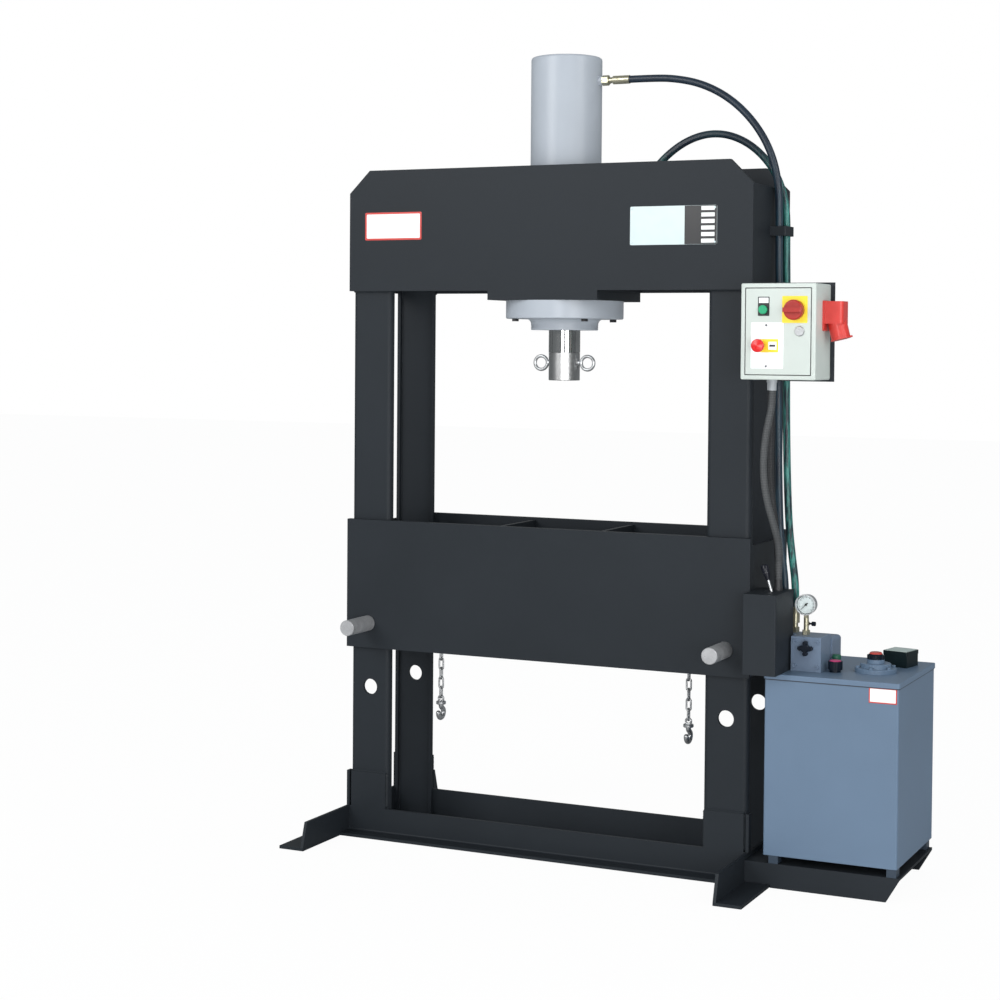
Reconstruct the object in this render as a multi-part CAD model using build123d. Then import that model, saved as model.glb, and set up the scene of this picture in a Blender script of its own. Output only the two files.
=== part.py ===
from build123d import *
import os
from math import cos, sin, radians, tan

os.makedirs("parts", exist_ok=True)

# A two-column workshop press with an electric power unit, in millimetres
# X runs along the front, Y to the rear, Z up, and the origin lies on the floor under the ram

# Overall frame
FRAME_DEPTH = 382.0
PLATE = 20.0
HEAD_WIDTH = 1430.0
HEAD_BOTTOM = 1850.0
HEAD_HEIGHT = 406.0
HEAD_CHAMFER = 76.0
END_PLATE = 5.0
HEAD_WEB_HEIGHT = 90.0
HEAD_WEB_THICKNESS = 15.0
BOLSTER_WIDTH = 390.0
BOLSTER_THICKNESS = 31.0

# Columns, folded channels that face each other
COLUMN_SPAN = 1420.0
COLUMN_WIDTH = 146.0
COLUMN_FLANGE = 24.0
COLUMN_WALL = 12.0
COLUMN_BEND = 16.0
COLUMN_TOP_BELOW_HEAD_TOP = 90.0
SPLICE_INSET = 7.0
SPLICE_HEIGHT = 120.0

# Bed and its two pins
BED_WIDTH = 1436.0
BED_BOTTOM = 639.0
BED_HEIGHT = 436.0
BED_WEB_HALF_PITCH = 182.0
BED_WEB_THICKNESS = 15.0
BED_WEB_DROP = 8.0
BED_WEB_FOOT = 14.0
BED_END_THICKNESS = 7.0
BED_END_DROP = 23.0
PIN_DIAMETER = 52.0
PIN_CLEARANCE = 0.5
PIN_LEVEL = 723.0
HOLE_PITCH = 220.0
PIN_FRONT_OVERHANG = 144.0
PIN_REAR_OVERHANG = 24.0
PIN_CHAMFER = 2.0

# Base beams and feet, hot rolled angles
BASE_HEIGHT = 91.0
BASE_LEG = 62.0
ANGLE_WALL = 10.0
FOOT_LEG = 80.0
FOOT_TAB = 24.0
FOOT_REACH = 489.0
FOOT_BEVEL = 26.0

# Platform of the power unit
PLATFORM_RIGHT = 1205.0
PLATFORM_FRONT = -218.0
PLATFORM_DEPTH = 430.0
PLATFORM_TOP = 76.0
PLATFORM_PLATE = 8.0
PLATFORM_BEVEL = 40.0
SEAT_CLEARANCE = 0.3

# Cylinder and ram
TUBE_DIAMETER = 236.0
BORE_DIAMETER = 180.0
CYLINDER_TOP = 2625.0
CAP_THICKNESS = 25.0
CAP_ROUNDING = 9.0
FLANGE_DIAMETER = 392.0
FLANGE_THICKNESS = 60.0
FLANGE_ROUNDING = 5.0
NECK_DIAMETER = 224.0
NECK_HEIGHT = 37.0
NECK_FILLET = 18.0
NECK_GROOVE = 1.5
TUBE_RECESS = 25.0
TUBE_FIT = 0.2
ROD_DIAMETER = 105.0
ROD_FIT = 0.1
ROD_END = 1648.0
NOSE_DIAMETER = 104.0
NOSE_LENGTH = 93.0
NOSE_CHAMFER = 1.5
SPIGOT_DIAMETER = 60.0
SPIGOT_LENGTH = 40.0
PISTON_LENGTH = 110.0
PISTON_TOP_GAP = 10.0
PISTON_FIT = 0.1
SEAL_WIDTH = 10.0
SEAL_DEPTH = 8.0
WIPER_WIDTH = 10.0
WIPER_HEIGHT = 9.0
BOLT_CIRCLE = 350.0
BOLT_DIAMETER = 14.0
BOLT_HEAD = 21.0
BOLT_HEAD_HEIGHT = 9.0
BOLT_GRIP = 22.0
BOLT_HOLE_CLEARANCE = 0.3

# Lifting eyes in the nose
EYE_RING_DIAMETER = 56.0
EYE_WIRE = 11.0
EYE_SHANK = 12.0
EYE_DEPTH = 20.0
EYE_COLLAR = 22.0
EYE_COLLAR_HEIGHT = 6.0
EYE_ABOVE_NOSE_END = 58.0

# Chains that hang inside the bed
CHAIN_X = 452.0
ANCHOR_BAR = 20.0
ANCHOR_LEVEL = 683.0
ANCHOR_RING_RADIUS = 12.0
ANCHOR_WIRE = 7.0
LINK_WIRE = 6.0
LINK_PITCH = 33.0
LINK_INNER_WIDTH = 9.0
LINK_COUNT = 6
LINK_SLACK = 0.3
HOOK_WIRE = 17.0
HOOK_COLLAR = 34.0
HOOK_COLLAR_HEIGHT = 11.0
HOOK_EYE_RADIUS = 9.0
HOOK_EYE_WIRE = 7.0
HOOK_SHANK = 12.0
HOOK_BOWL = 19.0

# Control box on the right of the head
BOX_LEFT = 722.0
BOX_WIDTH = 235.0
BOX_FRONT = -320.0
BOX_DEPTH = 156.0
BOX_BOTTOM = 1573.0
BOX_HEIGHT = 292.0
BOX_WALL = 4.0
BOX_ROUNDING = 5.0
GEAR_MARGIN = 16.0
GEAR_STANDOFF = 4.0
GEAR_PLATE = 2.0
CONTACTOR_WIDTH = 48.0
CONTACTOR_HEIGHT = 70.0
CONTACTOR_DEPTH = 44.0
RELAY_HEIGHT = 60.0
RELAY_DEPTH = 36.0
TRANSFORMER_WIDTH = 70.0
TRANSFORMER_HEIGHT = 80.0
TRANSFORMER_DEPTH = 44.0
COIL_PROUD = 4.0
DOOR_WIDTH = 203.0
DOOR_HEIGHT = 260.0
DOOR_THICKNESS = 4.0
DOOR_RETURN = 12.0
DOOR_GAP = 0.8
BRACKET_THICKNESS = 8.0
BRACKET_MARGIN = 12.0
BUTTON_X = 794.0
BUTTON_LEVEL = 1785.0
BUTTON_DIAMETER = 27.0
BUTTON_TRAVEL = 4.0
STOP_X = 785.0
STOP_LEVEL = 1676.0
STOP_DIAMETER = 40.0
SWITCH_X = 892.0
SWITCH_LEVEL = 1784.0
SWITCH_DIAMETER = 61.0
LOCK_X = 907.0
LOCK_LEVEL = 1720.0
LOCK_DIAMETER = 30.0
OPERATOR_FIT = 0.1
INLET_Y = -215.0
INLET_LEVEL = 1768.0
INLET_PLATE_WIDTH = 75.0
INLET_PLATE_HEIGHT = 92.0
INLET_COLLAR = 58.0
INLET_TILT = 14.0

# Lever cover on the power unit
COVER_LEFT = 722.0
COVER_WIDTH = 107.0
COVER_FRONT = -275.0
COVER_DEPTH = 187.0
COVER_HEIGHT = 249.0
COVER_WALL = 4.0
LEVER_X = 796.0
LEVER_Y = -172.0
LEVER_LENGTH = 72.0
LEVER_ROD = 9.0
LEVER_LEAN = 17.0
LEVER_BALL = 22.0
LEVER_SLOT = 52.0
LEVER_PIVOT_DEPTH = 46.0

# Power unit
TANK_LEFT = 778.0
TANK_WIDTH = 420.0
TANK_FRONT = -218.0
TANK_DEPTH = 455.0
TANK_FEET = 25.0
TANK_TOP = 665.0
TANK_WALL = 3.0
TANK_CORNER = 6.0
LID_HEIGHT = 16.0
LID_LIP = 3.0
PAD_WIDTH = 30.0
PAD_DEPTH = 40.0
BLOCK_TOP = 773.0
BLOCK_LEFT = 780.0
BLOCK_RIGHT = 930.0
BLOCK_FRONT = -130.0
BLOCK_REAR = -20.0
BLOCK_STEP_X = 834.0
BLOCK_STEP_Y = -83.0
VALVE_RIGHT = 935.0
VALVE_LEFT = 862.0
VALVE_DEPTH = 98.0
VALVE_HEIGHT = 95.0
VALVE_ROUNDING = 13.0
GAUGE_X = 866.0
GAUGE_Y = -75.0
GAUGE_LEVEL = 867.0
GAUGE_DIAMETER = 66.0
GAUGE_THICKNESS = 30.0
GAUGE_RIM = 3.0
STAR_X = 884.0
STAR_LEVEL = 739.0
STAR_DIAMETER = 47.0
FLANGE_X = 1077.0
FLANGE_Y = -30.0
LID_FLANGE = 129.0
LID_FLANGE_THICKNESS = 14.0
LID_RING = 96.0
LID_RING_THICKNESS = 14.0
FILLER_NECK = 54.0
FILLER_NECK_HEIGHT = 12.0
FILLER_CAP = 54.0
FILLER_CAP_HEIGHT = 21.0
RELIEF_X = 966.0
RELIEF_Y = -94.0
RELIEF_DIAMETER = 45.0
RELIEF_HEIGHT = 26.0
TERMINAL_FROM_RIGHT = 82.0
TERMINAL_FROM_REAR = 109.0
TERMINAL_SIZE = 84.0
TERMINAL_HEIGHT = 50.0
TERMINAL_TURN = -12.0
MOTOR_X = 1060.0
MOTOR_Y = 60.0
MOTOR_DIAMETER = 190.0
MOTOR_LENGTH = 250.0
MOTOR_SHAFT = 24.0
PUMP_DIAMETER = 100.0
PUMP_LENGTH = 110.0
PUMP_FLANGE = 10.0
MOTOR_WALL = 8.0
BELL_LENGTH = 60.0
ROTOR_GAP = 45.0
SHAFT_IN_PUMP = 22.0
SHAFT_PLAY = 3.0
SHAFT_END_GAP = 10.0
COUPLING_DIAMETER = 60.0
COUPLING_LENGTH = 38.0

# Hoses and conduits
HOSE_DIAMETER = 24.0
CONDUIT_DIAMETER = 22.0
UPPER_PORT_DROP = 55.0
LOWER_PORT_RISE = 111.0
PORT_DRILL = 12.0
UPPER_FITTING_LENGTH = 107.0
ELBOW_OFFSET = 34.0
ELBOW_RISE = 60.0
FERRULE_DIAMETER = 28.0
UNION_HEIGHT = 80.0
HOSE_END_UPPER = (795.0, -68.0)
HOSE_END_LOWER = (819.0, -37.0)
CLAMP_LEVEL = 2040.0
CLAMP_HEIGHT = 30.0
CLAMP_WALL = 7.0
CLAMP_UPPER = (739.0, 2.0)
CLAMP_LOWER = (750.0, 46.0)
GLAND_DIAMETER = 28.0
GLAND_LENGTH = 34.0
GLAND_FRONT_TOP = (797.0, -232.0)
GLAND_REAR_TOP = (779.0, -190.0)
GLAND_FRONT_LOW = (793.0, -136.0)
GLAND_REAR_LOW = (783.0, -105.0)

# Sizes that follow from the ones above
HEAD_TOP = HEAD_BOTTOM + HEAD_HEIGHT
PLATE_FACE = FRAME_DEPTH / 2
COLUMN_FACE = PLATE_FACE - PLATE
COLUMN_X = COLUMN_SPAN / 2 - COLUMN_WIDTH / 2
COLUMN_TOP = HEAD_TOP - COLUMN_TOP_BELOW_HEAD_TOP
BED_TOP = BED_BOTTOM + BED_HEIGHT
BEAM_FACE = COLUMN_FACE + ANGLE_WALL
FOOT_INNER = COLUMN_SPAN / 2
FOOT_OUTER = FOOT_INNER + ANGLE_WALL
BOLSTER_BOTTOM = HEAD_BOTTOM - BOLSTER_THICKNESS
FLANGE_BOTTOM = BOLSTER_BOTTOM - FLANGE_THICKNESS
NECK_BOTTOM = FLANGE_BOTTOM - NECK_HEIGHT
TUBE_BOTTOM = BOLSTER_BOTTOM - TUBE_RECESS
CAP_BOTTOM = CYLINDER_TOP - CAP_THICKNESS
UPPER_PORT = CAP_BOTTOM - UPPER_PORT_DROP
LOWER_PORT = TUBE_BOTTOM + LOWER_PORT_RISE
PISTON_TOP = CAP_BOTTOM - PISTON_TOP_GAP
PISTON_BOTTOM = PISTON_TOP - PISTON_LENGTH
NOSE_END = ROD_END - NOSE_LENGTH
EYE_LEVEL = NOSE_END + EYE_ABOVE_NOSE_END
HOLE_DIAMETER = PIN_DIAMETER + 2 * PIN_CLEARANCE
TANK_BOTTOM = PLATFORM_TOP + TANK_FEET
TERMINAL_X = TANK_LEFT + TANK_WIDTH - TERMINAL_FROM_RIGHT
TERMINAL_Y = TANK_FRONT + TANK_DEPTH - TERMINAL_FROM_REAR
BOX_RIGHT = BOX_LEFT + BOX_WIDTH
BOX_BACK = BOX_FRONT + BOX_DEPTH
BOX_TOP = BOX_BOTTOM + BOX_HEIGHT
DOOR_LEFT = BOX_LEFT + (BOX_WIDTH - DOOR_WIDTH) / 2
DOOR_BOTTOM = BOX_BOTTOM + (BOX_HEIGHT - DOOR_HEIGHT) / 2
COVER_TOP = TANK_TOP + COVER_HEIGHT
LOW = (Align.MIN, Align.MIN, Align.MIN)
ON_END = (Align.CENTER, Align.CENTER, Align.MIN)


def block(x, y, z):
    """A box from three pairs of limits."""
    size = Box(x[1] - x[0], y[1] - y[0], z[1] - z[0], align=LOW)
    return Pos(x[0], y[0], z[0]) * size


def rod_x(diameter, x, y, z):
    """A round bar along X between two limits."""
    return Pos(x[0], y, z) * Rot(0, 90, 0) * Cylinder(diameter / 2, x[1] - x[0], align=ON_END)


def rod_y(diameter, x, y, z):
    """A round bar along Y between two limits."""
    return Pos(x, y[1], z) * Rot(90, 0, 0) * Cylinder(diameter / 2, y[1] - y[0], align=ON_END)


def rod_z(diameter, x, y, z):
    """A round bar along Z between two limits."""
    return Pos(x, y, z[0]) * Cylinder(diameter / 2, z[1] - z[0], align=ON_END)


def plate_y(points, y):
    """A plate with an outline in X and Z between two limits along Y."""
    face = make_face(Polyline(*points, close=True))
    return Pos(0, y[1], 0) * Rot(90, 0, 0) * extrude(face, y[1] - y[0])


def hexagon(flats, height):
    """A hexagonal prism on its end at the origin."""
    return extrude(RegularPolygon(flats / 2, 6, major_radius=False), height)


def flip_x(shape):
    """The mirror image on the other side of the ram."""
    return mirror(shape, about=Plane.YZ)


def flip_y(shape):
    """The mirror image on the rear side."""
    return mirror(shape, about=Plane.XZ)


def write(name, *shapes):
    """One file for a piece, or for a group of like pieces."""
    shape = shapes[0] if len(shapes) == 1 else Compound(children=list(shapes))
    export_step(shape, f"parts/{name}.step")


# Head
def head_plate():
    half = HEAD_WIDTH / 2
    outline = (
        (-half, HEAD_BOTTOM),
        (half, HEAD_BOTTOM),
        (half, HEAD_TOP - HEAD_CHAMFER),
        (half - HEAD_CHAMFER, HEAD_TOP),
        (-half + HEAD_CHAMFER, HEAD_TOP),
        (-half, HEAD_TOP - HEAD_CHAMFER),
    )
    return plate_y(outline, (-PLATE_FACE, -COLUMN_FACE))


def head_cross_plates():
    inside = (-COLUMN_FACE, COLUMN_FACE)
    half = HEAD_WIDTH / 2
    end = block((half - END_PLATE, half), inside, (HEAD_BOTTOM, HEAD_TOP - HEAD_CHAMFER))
    web_x = BOLSTER_WIDTH / 2
    web = block(
        (web_x, web_x + HEAD_WEB_THICKNESS), inside, (HEAD_BOTTOM, HEAD_BOTTOM + HEAD_WEB_HEIGHT)
    )
    return end, flip_x(end), web, flip_x(web)


def bolt_places():
    reach = BOLT_CIRCLE / 2 * cos(radians(45))
    return [(sx * reach, sy * reach) for sx in (-1, 1) for sy in (-1, 1)]


def head_bolster():
    half = BOLSTER_WIDTH / 2
    plate = block((-half, half), (-PLATE_FACE, PLATE_FACE), (BOLSTER_BOTTOM, HEAD_BOTTOM))
    plate -= rod_z(TUBE_DIAMETER + 2 * TUBE_FIT, 0, 0, (BOLSTER_BOTTOM - 1, HEAD_BOTTOM + 1))
    for x, y in bolt_places():
        hole = BOLT_DIAMETER + 2 * BOLT_HOLE_CLEARANCE
        plate -= rod_z(hole, x, y, (BOLSTER_BOTTOM - 1, BOLSTER_BOTTOM + BOLT_GRIP + 1))
    return plate


# Columns
def channel():
    """A folded channel with its web to the front, with round outer and inner bends."""
    half = COLUMN_WIDTH / 2
    web = Pos(0, -COLUMN_FACE, 0) * Rectangle(
        COLUMN_WIDTH, COLUMN_FLANGE, align=(Align.CENTER, Align.MIN)
    )
    front = [v for v in web.vertices() if v.Y < -COLUMN_FACE + 1]
    outer = fillet(front, COLUMN_BEND)
    hollow = Pos(0, -COLUMN_FACE + COLUMN_WALL, 0) * Rectangle(
        2 * (half - COLUMN_WALL), COLUMN_FLANGE, align=(Align.CENTER, Align.MIN)
    )
    inner_front = [v for v in hollow.vertices() if v.Y < -COLUMN_FACE + COLUMN_WALL + 1]
    inner = fillet(inner_front, COLUMN_BEND - COLUMN_WALL)
    return outer - inner


def column():
    """The front right column with its pin holes and the splice plate at its foot."""
    body = Pos(COLUMN_X, 0, 0) * extrude(channel(), COLUMN_TOP)
    for level in (PIN_LEVEL, PIN_LEVEL - HOLE_PITCH):
        reach = (-COLUMN_FACE - 1, -COLUMN_FACE + COLUMN_WALL + 1)
        body -= rod_y(HOLE_DIAMETER, COLUMN_X, reach, level)
    left = COLUMN_X - COLUMN_WIDTH / 2 + SPLICE_INSET
    right = COLUMN_X + COLUMN_WIDTH / 2 - SPLICE_INSET
    splice = block(
        (left, right), (-BEAM_FACE, -COLUMN_FACE), (BASE_HEIGHT, BASE_HEIGHT + SPLICE_HEIGHT)
    )
    return body + splice


# Base
def base_beam():
    half = FOOT_INNER
    upright = block((-half, half), (-BEAM_FACE, -COLUMN_FACE), (0, BASE_HEIGHT))
    leg = block((-half, half), (-BEAM_FACE - BASE_LEG, -BEAM_FACE + 1), (0, ANGLE_WALL))
    beam = upright + leg
    root = beam.edges().filter_by(Axis.X).sort_by(
        lambda e: abs(e.center().Y + BEAM_FACE) + abs(e.center().Z - ANGLE_WALL)
    )
    return fillet(root[0], ANGLE_WALL / 2)


def foot():
    """The right foot, an angle with bevelled web ends and a tab beside each column."""
    reach = FOOT_REACH
    tab = BEAM_FACE - FOOT_TAB
    side = (
        (-reach, 0),
        (reach, 0),
        (reach, ANGLE_WALL),
        (reach - FOOT_BEVEL, BASE_HEIGHT),
        (BEAM_FACE, BASE_HEIGHT),
        (BEAM_FACE, BASE_HEIGHT + SPLICE_HEIGHT),
        (tab, BASE_HEIGHT + SPLICE_HEIGHT),
        (tab, BASE_HEIGHT),
        (-tab, BASE_HEIGHT),
        (-tab, BASE_HEIGHT + SPLICE_HEIGHT),
        (-BEAM_FACE, BASE_HEIGHT + SPLICE_HEIGHT),
        (-BEAM_FACE, BASE_HEIGHT),
        (-reach + FOOT_BEVEL, BASE_HEIGHT),
        (-reach, ANGLE_WALL),
    )
    face = make_face(Polyline(*side, close=True))
    web = Pos(FOOT_INNER, 0, 0) * Rot(0, 0, 90) * Rot(90, 0, 0) * extrude(face, ANGLE_WALL)
    leg = block((FOOT_OUTER - 1, FOOT_OUTER + FOOT_LEG), (-reach, reach), (0, ANGLE_WALL))
    return web + leg


def power_unit_platform():
    """A top plate on two bevelled ribs that step over the foot's leg."""
    top = PLATFORM_TOP
    over = ANGLE_WALL + SEAT_CLEARANCE
    leg_end = FOOT_OUTER + FOOT_LEG + 2
    rib_outline = (
        (FOOT_OUTER, over),
        (leg_end, over),
        (leg_end, 0),
        (PLATFORM_RIGHT - PLATFORM_BEVEL, 0),
        (PLATFORM_RIGHT, top - PLATFORM_PLATE),
        (PLATFORM_RIGHT, top),
        (FOOT_OUTER, top),
    )
    rear = PLATFORM_FRONT + PLATFORM_DEPTH
    front_rib = plate_y(rib_outline, (PLATFORM_FRONT, PLATFORM_FRONT + PLATFORM_PLATE))
    rear_rib = plate_y(rib_outline, (rear - PLATFORM_PLATE, rear))
    plate = block(
        (FOOT_OUTER, PLATFORM_RIGHT), (PLATFORM_FRONT, rear), (top - PLATFORM_PLATE, top)
    )
    return plate + front_rib + rear_rib


# Bed
def bed_plate():
    half = BED_WIDTH / 2
    reach = (-PLATE_FACE, -COLUMN_FACE)
    plate = block((-half, half), reach, (BED_BOTTOM, BED_TOP))
    for side in (-1, 1):
        hole = (-PLATE_FACE - 1, -COLUMN_FACE + 1)
        plate -= rod_y(HOLE_DIAMETER, side * COLUMN_X, hole, PIN_LEVEL)
    return plate


def chain_anchor(side):
    """A cross bar with a welded ring that carries one chain."""
    bar = rod_y(ANCHOR_BAR, side * CHAIN_X, (-COLUMN_FACE, COLUMN_FACE), ANCHOR_LEVEL)
    ring = Torus(ANCHOR_RING_RADIUS, ANCHOR_WIRE / 2)
    return bar + Pos(side * CHAIN_X, 0, anchor_ring_level()) * Rot(0, 90, 0) * ring


def anchor_ring_level():
    return ANCHOR_LEVEL - ANCHOR_BAR / 2 - ANCHOR_RING_RADIUS


def bed_cross_plates():
    inside = (-COLUMN_FACE, COLUMN_FACE)
    low = BED_BOTTOM + BED_WEB_FOOT
    left = BED_WEB_HALF_PITCH - BED_WEB_THICKNESS / 2
    web = block((left, left + BED_WEB_THICKNESS), inside, (low, BED_TOP - BED_WEB_DROP))
    half = BED_WIDTH / 2
    end = block((half - BED_END_THICKNESS, half), inside, (BED_BOTTOM, BED_TOP - BED_END_DROP))
    return web, flip_x(web), end, flip_x(end), chain_anchor(-1), chain_anchor(1)


def bed_pin(side):
    reach = (-PLATE_FACE - PIN_FRONT_OVERHANG, PLATE_FACE + PIN_REAR_OVERHANG)
    pin = rod_y(PIN_DIAMETER, side * COLUMN_X, reach, PIN_LEVEL)
    return chamfer(pin.edges().filter_by(GeomType.CIRCLE), PIN_CHAMFER)


# Chains and hooks
def oval_ring(inner_length, inner_width, wire):
    """A welded link, a round wire bent to an oval in the XZ plane."""
    radius = (inner_width + wire) / 2
    straight = inner_length / 2 + wire / 2 - radius
    path = Pos(0, 0) * SlotOverall(2 * (straight + radius), 2 * radius).wire()
    section = Plane(origin=(0, radius, 0), z_dir=(1, 0, 0)) * Circle(wire / 2)
    return Rot(90, 0, 0) * Rot(0, 0, 90) * sweep(section, path)


def first_link_level():
    """Height of the first link, which hangs on the wire of the anchor ring."""
    ring_wire = anchor_ring_level() - ANCHOR_RING_RADIUS
    top_wire = ring_wire + (ANCHOR_WIRE + LINK_WIRE) / 2 + LINK_SLACK
    return top_wire - (LINK_PITCH + LINK_WIRE) / 2


def hook_level():
    """Height of the hook's eye, which hangs on the last link."""
    last = first_link_level() - (LINK_COUNT - 1) * (LINK_PITCH - LINK_SLACK)
    low_wire = last - (LINK_PITCH + LINK_WIRE) / 2
    top_wire = low_wire + (LINK_WIRE + HOOK_EYE_WIRE) / 2 + LINK_SLACK
    return top_wire - HOOK_EYE_RADIUS


def chain(side):
    link = oval_ring(LINK_PITCH, LINK_INNER_WIDTH, LINK_WIRE)
    links = []
    for index in range(LINK_COUNT):
        level = first_link_level() - index * (LINK_PITCH - LINK_SLACK)
        turn = 90 * (index % 2)
        links.append(Pos(side * CHAIN_X, 0, level) * Rot(0, 0, turn) * link)
    return links


def hook(side):
    """A forged hook with its eye in the plane of the frame and its bowl across it."""
    eye = Rot(90, 0, 0) * Torus(HOOK_EYE_RADIUS, HOOK_EYE_WIRE / 2)
    neck_level = -HOOK_EYE_RADIUS - HOOK_SHANK
    belly_level = neck_level - 1.4 * HOOK_BOWL
    neck = (0, 0, neck_level)
    belly = (HOOK_BOWL, 0, belly_level)
    bottom = (0, 0, belly_level - HOOK_BOWL)
    tip = (-HOOK_BOWL, 0, belly_level)
    down = (0, 0, -1)
    section = Circle(HOOK_WIRE / 2)
    shank = rod_z(HOOK_WIRE, 0, 0, (neck_level, -HOOK_EYE_RADIUS))
    shoulder = sweep(
        Plane(origin=neck, z_dir=down) * section, Spline(neck, belly, tangents=(down, down))
    )
    bowl = sweep(Plane(origin=belly, z_dir=down) * section, ThreePointArc(belly, bottom, tip))
    point = Pos(*tip) * Sphere(HOOK_WIRE / 2)
    collar_level = -HOOK_EYE_RADIUS - HOOK_COLLAR_HEIGHT
    collar = rod_z(HOOK_COLLAR, 0, 0, (collar_level, -HOOK_EYE_RADIUS))
    collar = chamfer(collar.edges().filter_by(GeomType.CIRCLE), 2)
    forging = shank + shoulder + bowl + point + collar
    body = eye + Rot(0, 0, 90) * forging
    return Pos(side * CHAIN_X, 0, hook_level()) * body


# Cylinder and ram
def cylinder_tube():
    """The barrel with its welded end cap, port bosses and drillings."""
    outer = TUBE_DIAMETER / 2
    inner = BORE_DIAMETER / 2
    profile = make_face(
        Polyline(
            (inner, TUBE_BOTTOM),
            (outer, TUBE_BOTTOM),
            (outer, CYLINDER_TOP),
            (0, CYLINDER_TOP),
            (0, CAP_BOTTOM),
            (inner, CAP_BOTTOM),
            close=True,
        )
    )
    corner = [v for v in profile.vertices() if v.X > outer - 1 and v.Y > CYLINDER_TOP - 1]
    profile = fillet(corner, CAP_ROUNDING)
    barrel = revolve(Rot(90, 0, 0) * profile, Axis.Z)
    for level in (UPPER_PORT, LOWER_PORT):
        boss = rod_x(FERRULE_DIAMETER + 4, (inner + 5, outer + 12), 0, level)
        barrel += boss
        barrel -= rod_x(PORT_DRILL, (inner - 10, outer + 13), 0, level)
    return barrel


def cylinder_flange():
    """The turned front flange with its neck, its rod bore and the seat of the barrel."""
    seat = TUBE_DIAMETER / 2 + TUBE_FIT
    bore = ROD_DIAMETER / 2 + ROD_FIT
    neck = NECK_DIAMETER / 2
    rim = FLANGE_DIAMETER / 2
    wiper = bore + WIPER_WIDTH
    profile = make_face(
        Polyline(
            (bore, NECK_BOTTOM + WIPER_HEIGHT),
            (wiper, NECK_BOTTOM + WIPER_HEIGHT),
            (wiper, NECK_BOTTOM),
            (neck, NECK_BOTTOM),
            (neck, FLANGE_BOTTOM),
            (rim, FLANGE_BOTTOM),
            (rim, BOLSTER_BOTTOM),
            (seat, BOLSTER_BOTTOM),
            (seat, TUBE_BOTTOM),
            (bore, TUBE_BOTTOM),
            close=True,
        )
    )

    def near(x, z):
        return [v for v in profile.vertices() if abs(v.X - x) + abs(v.Y - z) < 0.1]

    profile = fillet(near(neck, FLANGE_BOTTOM), NECK_FILLET)
    profile = fillet(near(rim, FLANGE_BOTTOM), FLANGE_ROUNDING)
    profile = chamfer(near(neck, NECK_BOTTOM), 2)
    flange = revolve(Rot(90, 0, 0) * profile, Axis.Z)
    for rise in (6, 12):
        reach = (NECK_BOTTOM + rise, NECK_BOTTOM + rise + NECK_GROOVE)
        core = rod_z(NECK_DIAMETER - 2 * NECK_GROOVE, 0, 0, reach)
        flange -= rod_z(NECK_DIAMETER + 2, 0, 0, reach) - core
    for x, y in bolt_places():
        hole = BOLT_DIAMETER + 2 * BOLT_HOLE_CLEARANCE
        flange -= rod_z(hole, x, y, (FLANGE_BOTTOM - 1, BOLSTER_BOTTOM + 1))
    return flange


def flange_bolts():
    head = Pos(0, 0, FLANGE_BOTTOM - BOLT_HEAD_HEIGHT) * hexagon(BOLT_HEAD, BOLT_HEAD_HEIGHT)
    shank = rod_z(BOLT_DIAMETER, 0, 0, (FLANGE_BOTTOM - 1, BOLSTER_BOTTOM + BOLT_GRIP))
    bolt = head + shank
    return [Pos(x, y, 0) * bolt for x, y in bolt_places()]


def rod_seal():
    inner = ROD_DIAMETER / 2 + ROD_FIT / 2
    outer = ROD_DIAMETER / 2 + ROD_FIT + WIPER_WIDTH - ROD_FIT
    ring = rod_z(2 * outer, 0, 0, (NECK_BOTTOM, NECK_BOTTOM + WIPER_HEIGHT - ROD_FIT))
    return ring - rod_z(2 * inner, 0, 0, (NECK_BOTTOM - 1, NECK_BOTTOM + WIPER_HEIGHT))


def seal_levels():
    """Lower edges of the two seal grooves, a third of the piston apart."""
    third = PISTON_LENGTH / 3
    return [PISTON_BOTTOM + count * third - SEAL_WIDTH / 2 for count in (1, 2)]


def ram_rod():
    """The rod with its piston head, turned from one bar, and the spigot of the nose."""
    rod = rod_z(ROD_DIAMETER, 0, 0, (ROD_END, PISTON_BOTTOM + 1))
    piston_radius = BORE_DIAMETER / 2 - PISTON_FIT
    piston = rod_z(2 * piston_radius, 0, 0, (PISTON_BOTTOM, PISTON_TOP))
    piston = chamfer(piston.edges().filter_by(GeomType.CIRCLE), 2)
    for level in seal_levels():
        groove = rod_z(2 * piston_radius + 2, 0, 0, (level, level + SEAL_WIDTH))
        core = rod_z(2 * (piston_radius - SEAL_DEPTH), 0, 0, (level, level + SEAL_WIDTH))
        piston -= groove - core
    spigot = rod_z(SPIGOT_DIAMETER, 0, 0, (ROD_END - SPIGOT_LENGTH, ROD_END + 1))
    return rod + piston + spigot


def piston_seals():
    outer = BORE_DIAMETER / 2 - PISTON_FIT / 2
    inner = BORE_DIAMETER / 2 - PISTON_FIT - SEAL_DEPTH + PISTON_FIT
    rings = []
    for level in seal_levels():
        reach = (level + PISTON_FIT, level + SEAL_WIDTH - PISTON_FIT)
        rings.append(rod_z(2 * outer, 0, 0, reach) - rod_z(2 * inner, 0, 0, reach))
    return rings


def ram_nose():
    nose = rod_z(NOSE_DIAMETER, 0, 0, (NOSE_END, ROD_END))
    nose = chamfer(nose.edges().filter_by(GeomType.CIRCLE), NOSE_CHAMFER)
    nose -= rod_z(
        SPIGOT_DIAMETER + 2 * ROD_FIT, 0, 0, (ROD_END - SPIGOT_LENGTH - ROD_FIT, ROD_END + 1)
    )
    radius = NOSE_DIAMETER / 2
    for side in (-1, 1):
        reach = sorted((side * (radius - EYE_DEPTH - 1), side * (radius + 1)))
        nose -= rod_x(EYE_SHANK + 2 * ROD_FIT, reach, 0, EYE_LEVEL)
    return nose


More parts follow.
